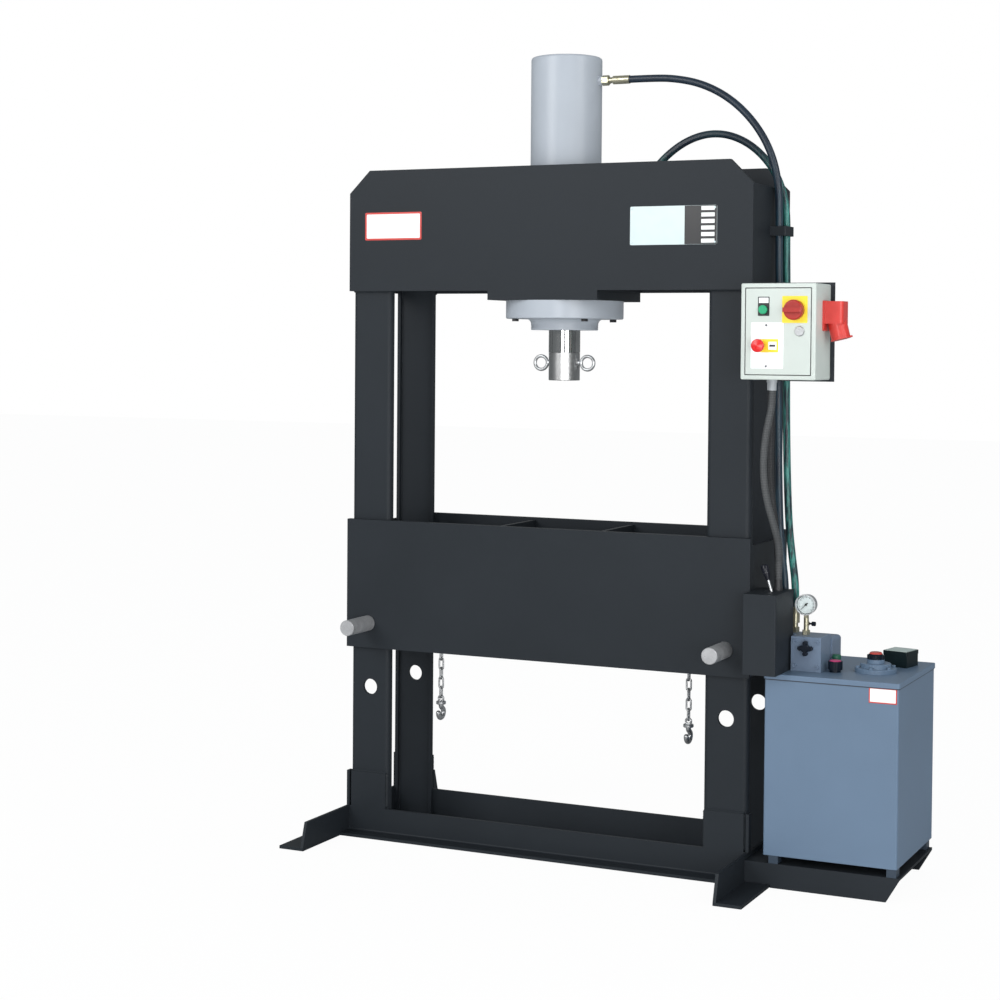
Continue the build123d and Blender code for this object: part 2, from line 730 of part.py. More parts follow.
def lifting_eye():
    """The right lifting eye, with its ring in the plane of the frame."""
    radius = NOSE_DIAMETER / 2
    shank = rod_x(EYE_SHANK, (radius - EYE_DEPTH, radius + 4), 0, EYE_LEVEL)
    collar = rod_x(EYE_COLLAR, (radius, radius + EYE_COLLAR_HEIGHT), 0, EYE_LEVEL)
    ring_radius = (EYE_RING_DIAMETER - EYE_WIRE) / 2
    centre = radius + EYE_COLLAR_HEIGHT + EYE_RING_DIAMETER / 2 - 2
    ring = Pos(centre, 0, EYE_LEVEL) * Rot(90, 0, 0) * Torus(ring_radius, EYE_WIRE / 2)
    return shank + collar + ring


# Control box
def box_bracket():
    """The dark mounting plate behind the box, welded to the column."""
    top = BOX_TOP + BRACKET_MARGIN / 2
    arm_top = HEAD_BOTTOM - 5
    back = (BOX_BACK, BOX_BACK + BRACKET_THICKNESS)
    low = BOX_BOTTOM - BRACKET_MARGIN / 2
    plate = block((BOX_LEFT, BOX_RIGHT + BRACKET_MARGIN), back, (low, top))
    arm = block((COLUMN_SPAN / 2, BOX_LEFT + 1), back, (low, arm_top))
    return plate + arm


def box_shell():
    """The housing with a rounded front frame round the door opening."""
    shell = block((BOX_LEFT, BOX_RIGHT), (BOX_FRONT, BOX_BACK), (BOX_BOTTOM, BOX_TOP))
    along = shell.edges().filter_by(Axis.Y)
    shell = fillet(along, BOX_ROUNDING)
    front = shell.faces().sort_by(Axis.Y)[0]
    shell = fillet(front.edges(), BOX_ROUNDING - 1)
    wall = BOX_WALL
    shell -= block(
        (BOX_LEFT + wall, BOX_RIGHT - wall),
        (BOX_FRONT + wall, BOX_BACK - wall),
        (BOX_BOTTOM + wall, BOX_TOP - wall),
    )
    shell -= block(
        (DOOR_LEFT - DOOR_GAP, DOOR_LEFT + DOOR_WIDTH + DOOR_GAP),
        (BOX_FRONT - 1, BOX_FRONT + wall + 1),
        (DOOR_BOTTOM - DOOR_GAP, DOOR_BOTTOM + DOOR_HEIGHT + DOOR_GAP),
    )
    for x, y in (GLAND_FRONT_TOP, GLAND_REAR_TOP):
        shell -= rod_z(CONDUIT_DIAMETER, x, y, (BOX_BOTTOM - 1, BOX_BOTTOM + wall + 1))
    shell -= rod_x(INLET_COLLAR - 20, (BOX_RIGHT - wall - 1, BOX_RIGHT + 1), INLET_Y, INLET_LEVEL)
    return shell + hinge_lugs()


def control_gear():
    """The mounting plate with the contactor, its overload relay and the transformer."""
    back = BOX_BACK - BOX_WALL
    left = BOX_LEFT + BOX_WALL + GEAR_MARGIN
    right = BOX_RIGHT - BOX_WALL - GEAR_MARGIN
    low = BOX_BOTTOM + BOX_WALL + GEAR_MARGIN
    high = BOX_TOP - BOX_WALL - GEAR_MARGIN
    face = back - GEAR_STANDOFF - GEAR_PLATE
    plate = block((left, right), (face, back - GEAR_STANDOFF), (low, high))
    edge = GEAR_MARGIN / 2
    for x in (left + edge, right - edge):
        for z in (low + edge, high - edge):
            plate += rod_y(2 * GEAR_STANDOFF, x, (face, back), z)
    middle = (low + high) / 2 + GEAR_MARGIN
    start = left + GEAR_MARGIN
    end = start + CONTACTOR_WIDTH
    body = (face - CONTACTOR_DEPTH, face)
    contactor = block((start, end), body, (middle, middle + CONTACTOR_HEIGHT))
    third = CONTACTOR_HEIGHT / 3
    nose = (face - CONTACTOR_DEPTH - COIL_PROUD, face - 1)
    contactor += block((start + 4, end - 4), nose, (middle + third, middle + 2 * third))
    relay_top = middle - SEAT_CLEARANCE
    relay = block((start + 2, end - 2), (face - RELAY_DEPTH, face), (relay_top - RELAY_HEIGHT, relay_top))
    core_x = (right - GEAR_MARGIN - TRANSFORMER_WIDTH, right - GEAR_MARGIN)
    core = block(core_x, (face - TRANSFORMER_DEPTH, face), (middle - TRANSFORMER_HEIGHT, middle))
    fourth = TRANSFORMER_HEIGHT / 4
    winding = (face - TRANSFORMER_DEPTH - COIL_PROUD, face)
    core += block(
        (core_x[0] + GEAR_PLATE * 5, core_x[1] - GEAR_PLATE * 5),
        winding,
        (middle - 3 * fourth, middle - fourth),
    )
    return plate, contactor, relay, core


def hinge_levels():
    third = DOOR_HEIGHT / 4
    return (DOOR_BOTTOM + third, DOOR_BOTTOM + DOOR_HEIGHT - third)


def hinge_lugs():
    """Short round lugs behind the frame's left edge that carry the door."""
    x = DOOR_LEFT - DOOR_GAP - BOX_ROUNDING
    y = BOX_FRONT + BOX_WALL + 6
    lugs = None
    for level in hinge_levels():
        lug = block((BOX_LEFT + 1, x + 2), (y - 5, y + 5), (level - 10, level))
        lugs = lug if lugs is None else lugs + lug
    return lugs


def box_door():
    """The door panel with a folded return, its hinge leaves and the holes of its operators."""
    left = DOOR_LEFT
    right = DOOR_LEFT + DOOR_WIDTH
    low = DOOR_BOTTOM
    high = DOOR_BOTTOM + DOOR_HEIGHT
    front = (BOX_FRONT, BOX_FRONT + DOOR_THICKNESS)
    door = block((left, right), front, (low, high))
    door = fillet(door.edges().filter_by(Axis.Y), 2)
    deep = (BOX_FRONT + DOOR_THICKNESS - 0.5, BOX_FRONT + DOOR_RETURN)
    inset = DOOR_THICKNESS
    rim = block((left + inset, right - inset), deep, (low + inset, high - inset))
    rim -= block(
        (left + inset + 2, right - inset - 2),
        (deep[0] - 1, deep[1] + 1),
        (low + inset + 2, high - inset - 2),
    )
    door += rim
    hole = (BOX_FRONT - 1, BOX_FRONT + DOOR_THICKNESS + 1)
    for x, level, diameter in operator_holes():
        door -= rod_y(diameter + 2 * OPERATOR_FIT, x, hole, level)
    return door


def operator_holes():
    return (
        (BUTTON_X, BUTTON_LEVEL, BUTTON_DIAMETER - 5),
        (STOP_X, STOP_LEVEL, BUTTON_DIAMETER - 5),
        (SWITCH_X, SWITCH_LEVEL, BUTTON_DIAMETER - 13),
        (LOCK_X, LOCK_LEVEL, LOCK_DIAMETER - 10),
    )


def start_button():
    """A flush button on its plunger."""
    y = BOX_FRONT
    cap = rod_y(BUTTON_DIAMETER, BUTTON_X, (y - 13, y - BUTTON_TRAVEL - 1), BUTTON_LEVEL)
    cap = fillet(cap.edges().filter_by(GeomType.CIRCLE).sort_by(Axis.Y)[0], 1.5)
    stem = rod_y(BUTTON_DIAMETER - 5, BUTTON_X, (y - 6, y + 40), BUTTON_LEVEL)
    return cap + stem


def stop_button():
    """A mushroom head on its plunger."""
    y = BOX_FRONT
    profile = make_face(
        Polyline(
            (0, 0),
            (BUTTON_DIAMETER / 2 - 2.5, 0),
            (BUTTON_DIAMETER / 2 - 2.5, 52),
            (BUTTON_DIAMETER / 2 + 1, 56),
            (STOP_DIAMETER / 2, 62),
            (STOP_DIAMETER / 2, 70),
            (0, 74),
            close=True,
        )
    )
    rim = [v for v in profile.vertices() if v.X > STOP_DIAMETER / 2 - 1 and v.Y > 69]
    profile = fillet(rim, 4)
    turned = revolve(profile, Axis.Y)
    return Pos(STOP_X, y + 36, STOP_LEVEL) * Rot(0, 0, 180) * turned


def switch_handle():
    """A round rotary handle with a raised grip bar on its spindle."""
    y = BOX_FRONT
    disc = rod_y(SWITCH_DIAMETER, SWITCH_X, (y - 24, y - 5), SWITCH_LEVEL)
    disc = fillet(disc.edges().filter_by(GeomType.CIRCLE).sort_by(Axis.Y)[0], 5)
    half = SWITCH_DIAMETER / 2 - 1
    grip = block(
        (SWITCH_X - half, SWITCH_X + half), (y - 36, y - 20), (SWITCH_LEVEL - 7, SWITCH_LEVEL + 7)
    )
    grip = fillet(grip.edges().filter_by(Axis.Z), 4)
    spindle = rod_y(BUTTON_DIAMETER - 13, SWITCH_X, (y - 8, y + 55), SWITCH_LEVEL)
    return disc + grip + spindle


def door_lock():
    """A round cam lock with its tongue turned down, which leaves the door free."""
    y = BOX_FRONT
    rim = rod_y(LOCK_DIAMETER, LOCK_X, (y - 5, y - SEAT_CLEARANCE), LOCK_LEVEL)
    rim = chamfer(rim.edges().filter_by(GeomType.CIRCLE).sort_by(Axis.Y)[0], 1.5)
    rim -= block((LOCK_X - 2, LOCK_X + 2), (y - 6, y - 2), (LOCK_LEVEL - 6, LOCK_LEVEL + 6))
    barrel = rod_y(LOCK_DIAMETER - 10, LOCK_X, (y - 2, y + 24), LOCK_LEVEL)
    reach = BOX_RIGHT - BOX_WALL - 2 - LOCK_X
    tongue = block((LOCK_X - 8, LOCK_X + 8), (y + 20, y + 24), (LOCK_LEVEL - reach, LOCK_LEVEL + 8))
    return rim + barrel + tongue


# Mains inlet on the side of the box
def inlet_place():
    """Where the collar leaves the housing, tilted outward from straight down."""
    return Pos(BOX_RIGHT + 34, INLET_Y, INLET_LEVEL - 12) * Rot(0, 180 - INLET_TILT, 0)


def inlet_housing():
    half_w = INLET_PLATE_WIDTH / 2
    half_h = INLET_PLATE_HEIGHT / 2
    plate = block(
        (BOX_RIGHT, BOX_RIGHT + 6),
        (INLET_Y - half_w, INLET_Y + half_w),
        (INLET_LEVEL - half_h, INLET_LEVEL + half_h),
    )
    plate = fillet(plate.edges().filter_by(Axis.X), 6)
    body = block(
        (BOX_RIGHT + 2, BOX_RIGHT + 62),
        (INLET_Y - half_w + 5, INLET_Y + half_w - 5),
        (INLET_LEVEL - 24, INLET_LEVEL + half_h - 2),
    )
    body = fillet(body.edges().filter_by(Axis.Z).group_by(Axis.X)[-1], 10)
    collar = Cylinder(INLET_COLLAR / 2, 56, align=ON_END)
    housing = plate + body + inlet_place() * collar
    mouth = Pos(0, 0, 14) * Cylinder(INLET_COLLAR / 2 - 5, 60, align=ON_END)
    housing -= inlet_place() * mouth
    for index in range(5):
        turn = Rot(0, 0, 72 * index)
        pin = turn * Pos(13, 0, 8) * Cylinder(3, 36, align=ON_END)
        housing += inlet_place() * pin
    return housing


def inlet_lid():
    """The sprung flap that closes the mouth of the inlet."""
    radius = INLET_COLLAR / 2 + 2
    disc = Pos(0, 0, 56 + SEAT_CLEARANCE) * Cylinder(radius, 5, align=ON_END)
    ear = Pos(-radius - 4, -7, 56 + SEAT_CLEARANCE) * Box(12, 14, 5, align=LOW)
    return inlet_place() * Rot(0, 0, 0) * (disc + ear)


# Lever cover and lever
def lever_cover():
    """The cover of the lever's linkage, a folded case that stands on the lid."""
    cover = block(
        (COVER_LEFT, COVER_LEFT + COVER_WIDTH),
        (COVER_FRONT, COVER_FRONT + COVER_DEPTH),
        (TANK_TOP, COVER_TOP),
    )
    cover = fillet(cover.edges().filter_by(Axis.Z), COVER_WALL)
    wall = COVER_WALL
    cover -= block(
        (COVER_LEFT + wall, COVER_LEFT + COVER_WIDTH - wall),
        (COVER_FRONT + wall, COVER_FRONT + COVER_DEPTH - wall),
        (TANK_TOP + wall, COVER_TOP - wall),
    )
    slot = LEVER_SLOT / 2
    slot_x = LEVER_X - LEVER_PIVOT_DEPTH * tan(radians(LEVER_LEAN))
    cover -= block(
        (slot_x - slot, slot_x + slot),
        (LEVER_Y - 8, LEVER_Y + 8),
        (COVER_TOP - wall - 1, COVER_TOP + 1),
    )
    for x, y in (GLAND_FRONT_LOW, GLAND_REAR_LOW):
        cover -= rod_z(CONDUIT_DIAMETER, x, y, (COVER_TOP - wall - 1, COVER_TOP + 1))
    pivot = rod_y(
        10, LEVER_X, (COVER_FRONT + wall - 1, COVER_FRONT + COVER_DEPTH - wall + 1), lever_pivot()
    )
    return cover + pivot


def lever_pivot():
    return COVER_TOP - LEVER_PIVOT_DEPTH


def control_lever():
    """The lever on its pivot tube, leaning to the left as it rests."""
    hub = Rot(90, 0, 0) * (Cylinder(10, 24) - Cylinder(5 + ROD_FIT, 30))
    above = COVER_TOP - lever_pivot()
    rod = Cylinder(LEVER_ROD / 2, above + LEVER_LENGTH - 10, align=ON_END)
    rod -= Rot(90, 0, 0) * Cylinder(5 + ROD_FIT, 30)
    knob = Pos(0, 0, above + LEVER_LENGTH - 34) * revolve(knob_profile(), Axis.Z)
    lever = hub + rod + knob
    return Pos(LEVER_X, LEVER_Y, lever_pivot()) * Rot(0, -LEVER_LEAN, 0) * lever


def knob_profile():
    """Half section of a tapered hand knob."""
    half = LEVER_BALL / 2
    outline = make_face(
        Polyline((0, 0), (half * 0.55, 0), (half, 24), (half, 38), (0, 42), close=True)
    )
    soft = [v for v in outline.vertices() if v.X > half - 1]
    return Rot(90, 0, 0) * fillet(soft, 3)


# Power unit
def tank_shell():
    """The tank, a folded steel case with a foot under each corner."""
    outer = block(
        (TANK_LEFT, TANK_LEFT + TANK_WIDTH),
        (TANK_FRONT, TANK_FRONT + TANK_DEPTH),
        (TANK_BOTTOM, TANK_TOP - LID_HEIGHT),
    )
    outer = fillet(outer.edges().filter_by(Axis.Z), TANK_CORNER)
    inner = block(
        (TANK_LEFT + TANK_WALL, TANK_LEFT + TANK_WIDTH - TANK_WALL),
        (TANK_FRONT + TANK_WALL, TANK_FRONT + TANK_DEPTH - TANK_WALL),
        (TANK_BOTTOM + TANK_WALL, TANK_TOP),
    )
    inner = fillet(inner.edges().filter_by(Axis.Z), TANK_CORNER - TANK_WALL)
    shell = outer - inner
    rear_limit = PLATFORM_FRONT + PLATFORM_DEPTH
    for x in (TANK_LEFT + 18, TANK_LEFT + TANK_WIDTH - PAD_WIDTH - 2):
        for y in (TANK_FRONT + 2, rear_limit - PAD_DEPTH - 2):
            shell += block((x, x + PAD_WIDTH), (y, y + PAD_DEPTH), (PLATFORM_TOP, TANK_BOTTOM + 1))
    return shell


def tank_lid():
    """The lid with its folded lip, a little proud of the tank."""
    lid = block(
        (TANK_LEFT - LID_LIP, TANK_LEFT + TANK_WIDTH + LID_LIP),
        (TANK_FRONT - LID_LIP, TANK_FRONT + TANK_DEPTH + LID_LIP),
        (TANK_TOP - LID_HEIGHT, TANK_TOP),
    )
    lid = fillet(lid.edges().filter_by(Axis.Z), TANK_CORNER)
    top = lid.faces().sort_by(Axis.Z)[-1]
    lid = fillet(top.edges(), 3)
    lid -= rod_z(FILLER_NECK - 12, FLANGE_X, FLANGE_Y, (TANK_TOP - LID_HEIGHT - 1, TANK_TOP + 1))
    return lid


def valve_block():
    """The drilled manifold and the valve body behind it."""
    z = (TANK_TOP, BLOCK_TOP)
    front = block((BLOCK_STEP_X, BLOCK_RIGHT), (BLOCK_FRONT, BLOCK_REAR), z)
    side = block((BLOCK_LEFT, BLOCK_STEP_X + 1), (BLOCK_STEP_Y, BLOCK_REAR), z)
    manifold = front + side
    manifold = chamfer(manifold.faces().sort_by(Axis.Z)[-1].edges(), 1.5)
    manifold -= rod_y(10 + 2 * OPERATOR_FIT, STAR_X, (BLOCK_FRONT - 1, BLOCK_FRONT + 31), STAR_LEVEL)
    valve = block(
        (VALVE_LEFT, VALVE_RIGHT),
        (BLOCK_REAR, BLOCK_REAR + VALVE_DEPTH),
        (TANK_TOP, TANK_TOP + VALVE_HEIGHT),
    )
    tops = valve.edges().group_by(Axis.Z)[-1]
    valve = fillet(tops, VALVE_ROUNDING)
    return manifold, valve


def star_knob():
    """A four-lobed hand knob on its screw."""
    reach = STAR_DIAMETER / 2
    lobe = 7.0
    blade = Circle(reach * 0.55)
    for index in range(4):
        blade += Rot(0, 0, 90 * index) * Pos(reach - lobe, 0) * Circle(lobe)
    body = extrude(blade, 16)
    body = fillet(body.faces().sort_by(Axis.Z)[-1].edges(), 2)
    boss = Cylinder(9, 8, align=(Align.CENTER, Align.CENTER, Align.MAX))
    screw = Pos(0, 0, -8) * Cylinder(5, 26, align=(Align.CENTER, Align.CENTER, Align.MAX))
    knob = body + boss + screw
    return Pos(STAR_X, BLOCK_FRONT - 8 - SEAT_CLEARANCE, STAR_LEVEL) * Rot(90, 0, 0) * knob


def gauge_case():
    """A round steel case with a rolled rim and its threaded stem."""
    radius = GAUGE_DIAMETER / 2
    front = GAUGE_Y - GAUGE_THICKNESS / 2
    profile = make_face(
        Polyline(
            (0, 0),
            (radius - 2, 0),
            (radius - 2, GAUGE_THICKNESS - 8),
            (radius, GAUGE_THICKNESS - 7),
            (radius, GAUGE_THICKNESS),
            (radius - GAUGE_RIM, GAUGE_THICKNESS),
            (radius - GAUGE_RIM, GAUGE_THICKNESS - 12),
            (0, GAUGE_THICKNESS - 12),
            close=True,
        )
    )
    case = Pos(GAUGE_X, front + GAUGE_THICKNESS, GAUGE_LEVEL) * Rot(90, 0, 0) * revolve(
        Rot(90, 0, 0) * profile, Axis.Z
    )
    hole = (front + 9, front + 15)
    case -= rod_y(3 + 2 * OPERATOR_FIT, GAUGE_X, hole, GAUGE_LEVEL)
    return case


def gauge_glass():
    front = GAUGE_Y - GAUGE_THICKNESS / 2
    radius = GAUGE_DIAMETER / 2 - GAUGE_RIM
    return rod_y(2 * radius, GAUGE_X, (front + 1, front + 3), GAUGE_LEVEL)


def gauge_needle():
    """The pointer with its boss and spindle, at zero on the lower left."""
    front = GAUGE_Y - GAUGE_THICKNESS / 2
    boss = rod_y(7, 0, (front + 7, front + 10), 0)
    blade = plate_y(((-1.4, -8), (1.4, -8), (0.5, 22), (-0.5, 22)), (front + 7.5, front + 8.7))
    spindle = rod_y(3, 0, (front + 9, front + 14.5), 0)
    return Pos(GAUGE_X, 0, GAUGE_LEVEL) * Rot(0, -135, 0) * (boss + blade + spindle)


def isolator_knob():
    """The small knob of the gauge's shut-off, on the right of its stem."""
    z = isolator_level()
    stem = rod_x(6, (GAUGE_X + 10 + SEAT_CLEARANCE, GAUGE_X + 20), GAUGE_Y, z)
    grip = rod_x(14, (GAUGE_X + 18, GAUGE_X + 30), GAUGE_Y, z)
    grip = fillet(grip.edges().filter_by(GeomType.CIRCLE), 1.5)
    return stem + grip


def isolator_level():
    return (BLOCK_TOP + GAUGE_LEVEL - GAUGE_DIAMETER / 2) / 2 + 4


def lid_flange():
    """The round cleaning cover with its screws and the filler neck."""
    plate = rod_z(LID_FLANGE, FLANGE_X, FLANGE_Y, (TANK_TOP, TANK_TOP + LID_FLANGE_THICKNESS))
    plate = chamfer(plate.edges().filter_by(GeomType.CIRCLE).sort_by(Axis.Z)[-1], 2)
    step = TANK_TOP + LID_FLANGE_THICKNESS
    top = step + LID_RING_THICKNESS
    ring = rod_z(LID_RING, FLANGE_X, FLANGE_Y, (step - 1, top))
    ring = chamfer(ring.edges().filter_by(GeomType.CIRCLE).sort_by(Axis.Z)[-1], 2)
    neck = rod_z(FILLER_NECK, FLANGE_X, FLANGE_Y, (top - 1, top + FILLER_NECK_HEIGHT))
    cover = plate + ring + neck
    cover -= rod_z(FILLER_NECK - 12, FLANGE_X, FLANGE_Y, (TANK_TOP - 1, top + FILLER_NECK_HEIGHT + 1))
    for index in range(6):
        turn = radians(30 + 60 * index)
        x = FLANGE_X + LID_FLANGE * 0.438 * cos(turn)
        y = FLANGE_Y + LID_FLANGE * 0.438 * sin(turn)
        cover += Pos(x, y, step - 0.5) * hexagon(11, 7)
    return cover


def filler_cap():
    """The screw cap with a fluted rim, over the neck and its inner plug."""
    low = TANK_TOP + LID_FLANGE_THICKNESS + LID_RING_THICKNESS + FILLER_NECK_HEIGHT + SEAT_CLEARANCE
    outline = Circle(FILLER_CAP / 2)
    for index in range(12):
        outline -= Rot(0, 0, 30 * index) * Pos(FILLER_CAP / 2 + 1, 0) * Circle(3)
    skirt = extrude(outline, FILLER_CAP_HEIGHT * 0.6)
    crown = Pos(0, 0, FILLER_CAP_HEIGHT * 0.6) * Cone(
        FILLER_CAP / 2 - 4, FILLER_CAP / 2 - 10, FILLER_CAP_HEIGHT * 0.4, align=ON_END
    )
    plug = Cylinder((FILLER_NECK - 12) / 2 - OPERATOR_FIT, 16, align=(Align.CENTER, Align.CENTER, Align.MAX))
    return Pos(FLANGE_X, FLANGE_Y, low) * (skirt + crown + plug)


def relief_knob():
    """A knurled adjusting knob on its collar."""
    low = TANK_TOP + SEAT_CLEARANCE
    collar = Cylinder(RELIEF_DIAMETER / 2 - 5, 8, align=ON_END)
    outline = Circle(RELIEF_DIAMETER / 2)
    for index in range(10):
        outline -= Rot(0, 0, 36 * index) * Pos(RELIEF_DIAMETER / 2 + 0.8, 0) * Circle(2.2)
    grip = Pos(0, 0, 8) * extrude(outline, RELIEF_HEIGHT)
    return Pos(RELIEF_X, RELIEF_Y, low) * (collar + grip)


def terminal_box():
    """The motor's connection box with its overlapping lid, turned on the tank."""
    size = TERMINAL_SIZE
    body = Box(size - 4, size - 4, TERMINAL_HEIGHT - 10, align=ON_END)
    lid = Pos(0, 0, TERMINAL_HEIGHT - 12) * Box(size, size, 12, align=ON_END)
    lid = fillet(lid.edges().filter_by(Axis.Z), 4)
    return Pos(TERMINAL_X, TERMINAL_Y, TANK_TOP) * Rot(0, 0, TERMINAL_TURN) * (body + lid)


def motor_top():
    return TANK_TOP - LID_HEIGHT


def pump_set():
    """The motor that hangs from the lid and the gear pump below it."""
    top = motor_top()
    low = top - MOTOR_LENGTH
    wall = MOTOR_WALL
    bell_diameter = (MOTOR_DIAMETER + PUMP_DIAMETER) / 2
    casing = rod_z(MOTOR_DIAMETER, MOTOR_X, MOTOR_Y, (low, top))
    casing -= rod_z(MOTOR_DIAMETER - 2 * wall, MOTOR_X, MOTOR_Y, (low + wall, top - wall))
    bell = rod_z(bell_diameter, MOTOR_X, MOTOR_Y, (low - BELL_LENGTH, low + 1))
    bell -= rod_z(bell_diameter - 2 * wall, MOTOR_X, MOTOR_Y, (low - BELL_LENGTH - 1, low + 1))
    motor = casing + bell
    bore = MOTOR_SHAFT + 2 * ROD_FIT
    motor -= rod_z(bore, MOTOR_X, MOTOR_Y, (low - 1, low + wall + 1))
    foot = low - BELL_LENGTH
    pump = rod_z(PUMP_DIAMETER, MOTOR_X, MOTOR_Y, (foot - PUMP_LENGTH, foot))
    flange = rod_z(bell_diameter, MOTOR_X, MOTOR_Y, (foot - PUMP_FLANGE, foot))
    pump = pump + flange
    pump -= rod_z(bore, MOTOR_X, MOTOR_Y, (foot - SHAFT_IN_PUMP - SHAFT_PLAY, foot + 1))
    return motor, pump


def motor_shaft():
    """The rotor with its shaft and the coupling to the pump."""
    top = motor_top()
    low = top - MOTOR_LENGTH
    rotor_diameter = MOTOR_DIAMETER - 2 * MOTOR_WALL - ROTOR_GAP
    rotor = rod_z(rotor_diameter, MOTOR_X, MOTOR_Y, (low + ROTOR_GAP, top - ROTOR_GAP))
    shaft_low = low - BELL_LENGTH - SHAFT_IN_PUMP
    shaft = rod_z(MOTOR_SHAFT, MOTOR_X, MOTOR_Y, (shaft_low, top - SHAFT_END_GAP))
    middle = low - BELL_LENGTH / 2
    half = COUPLING_LENGTH / 2
    coupling = rod_z(COUPLING_DIAMETER, MOTOR_X, MOTOR_Y, (middle - half, middle + half))
    return rotor + shaft + coupling


# Fittings of the hoses and conduits
def upper_fitting():
    start = TUBE_DIAMETER / 2 + 12
    end = start + UPPER_FITTING_LENGTH - 12
    turn = Pos(start, 0, UPPER_PORT) * Rot(0, 90, 0)
    nut = turn * hexagon(30, 22)
    neck = rod_x(20, (start + 20, start + 40), 0, UPPER_PORT)
    ferrule = rod_x(FERRULE_DIAMETER, (start + 38, end), 0, UPPER_PORT)
    return nut + neck + ferrule


def lower_fitting():
    """An elbow that turns the lower hose up inside the head."""
    start = TUBE_DIAMETER / 2 + 12
    x = TUBE_DIAMETER / 2 + ELBOW_OFFSET
    across = rod_x(26, (start, x), 0, LOWER_PORT)
    corner = Pos(x, 0, LOWER_PORT) * Sphere(13)
    ferrule = rod_z(FERRULE_DIAMETER, x, 0, (LOWER_PORT + 14, LOWER_PORT + ELBOW_RISE))
    rise = rod_z(26, x, 0, (LOWER_PORT, LOWER_PORT + 20))
    return across + corner + rise + ferrule


def union(place):
    """A hose union with a nut on the manifold and its crimped ferrule."""
    x, y = place
    nut = Pos(x, y, BLOCK_TOP) * hexagon(24, 16)
    neck = rod_z(18, x, y, (BLOCK_TOP + 15, BLOCK_TOP + 34))
    ferrule = rod_z(FERRULE_DIAMETER, x, y, (BLOCK_TOP + 30, BLOCK_TOP + UNION_HEIGHT))
    return nut + neck + ferrule


def gauge_stem():
    """The stem of the gauge, a hexagon, a body and a thread."""
    case_low = GAUGE_LEVEL - GAUGE_DIAMETER / 2
    nut = Pos(GAUGE_X, GAUGE_Y, BLOCK_TOP) * hexagon(22, 14)
    body = rod_z(16, GAUGE_X, GAUGE_Y, (BLOCK_TOP + 13, case_low - 8))
    side = rod_x(12, (GAUGE_X, GAUGE_X + 10), GAUGE_Y, isolator_level())
    top = Pos(GAUGE_X, GAUGE_Y, case_low - 12) * hexagon(14, 12)
    inner = rod_z(10, GAUGE_X, GAUGE_Y, (case_low - 2, case_low + 4))
    stem = nut + body + side + top + inner
    return stem - rod_y(GAUGE_DIAMETER - 3.8, GAUGE_X, (GAUGE_Y - 30, GAUGE_Y + 30), GAUGE_LEVEL)


def hose_clamp():
    """A block on the head's end plate with a round seat for each hose."""
    half = CLAMP_HEIGHT / 2
    reach = HOSE_DIAMETER / 2 + CLAMP_WALL
    right = CLAMP_LOWER[0] + reach
    body = block(
        (HEAD_WIDTH / 2, right),
        (CLAMP_UPPER[1] - reach, CLAMP_LOWER[1] + reach),
        (CLAMP_LEVEL - half, CLAMP_LEVEL + half),
    )
    body = fillet(body.edges().filter_by(Axis.Z).group_by(Axis.X)[-1], 8)
    for x, y in (CLAMP_UPPER, CLAMP_LOWER):
        hole = HOSE_DIAMETER + 2 * SEAT_CLEARANCE
        body -= rod_z(hole, x, y, (CLAMP_LEVEL - half - 1, CLAMP_LEVEL + half + 1))
    return body


def gland(place, level, way):
    """A conduit gland with its nut, below a wall for way -1 and above it for way 1."""
    x, y = place
    nut = rod_z(GLAND_DIAMETER, 0, 0, (0, 10))
    barrel = rod_z(GLAND_DIAMETER - 4, 0, 0, (9, GLAND_LENGTH))
    thread = rod_z(CONDUIT_DIAMETER - 1, 0, 0, (-10, 1))
    shape = nut + barrel + thread
    return Pos(x, y, level) * Rot(0 if way > 0 else 180, 0, 0) * shape


# Hoses and conduits, each on a route of points with round bends
def tube(route, diameter, name):
    """A plain tube on straight runs and tangent arcs, as large as the runs allow."""
    points = [Vector(*p) for p in route]
    radii = []
    for before, here, after in zip(points, points[1:], points[2:]):
        run_in = here - before
        run_out = after - here
        turn = run_in.get_angle(run_out)
        shorter = min(run_in.length, run_out.length)
        radii.append(0.45 * shorter / tan(radians(turn / 2)))
    path = FilletPolyline(*points, radius=radii)
    section = Plane(origin=points[0], z_dir=points[1] - points[0]) * Circle(diameter / 2)
    solid = sweep(section, path)
    expected = section.area * path.length
    print(name, "length", round(path.length), "volume ratio", round(solid.volume / expected, 4))
    print(name, "smallest radius", round(min(radii)), "radii", [round(r) for r in radii])
    return solid


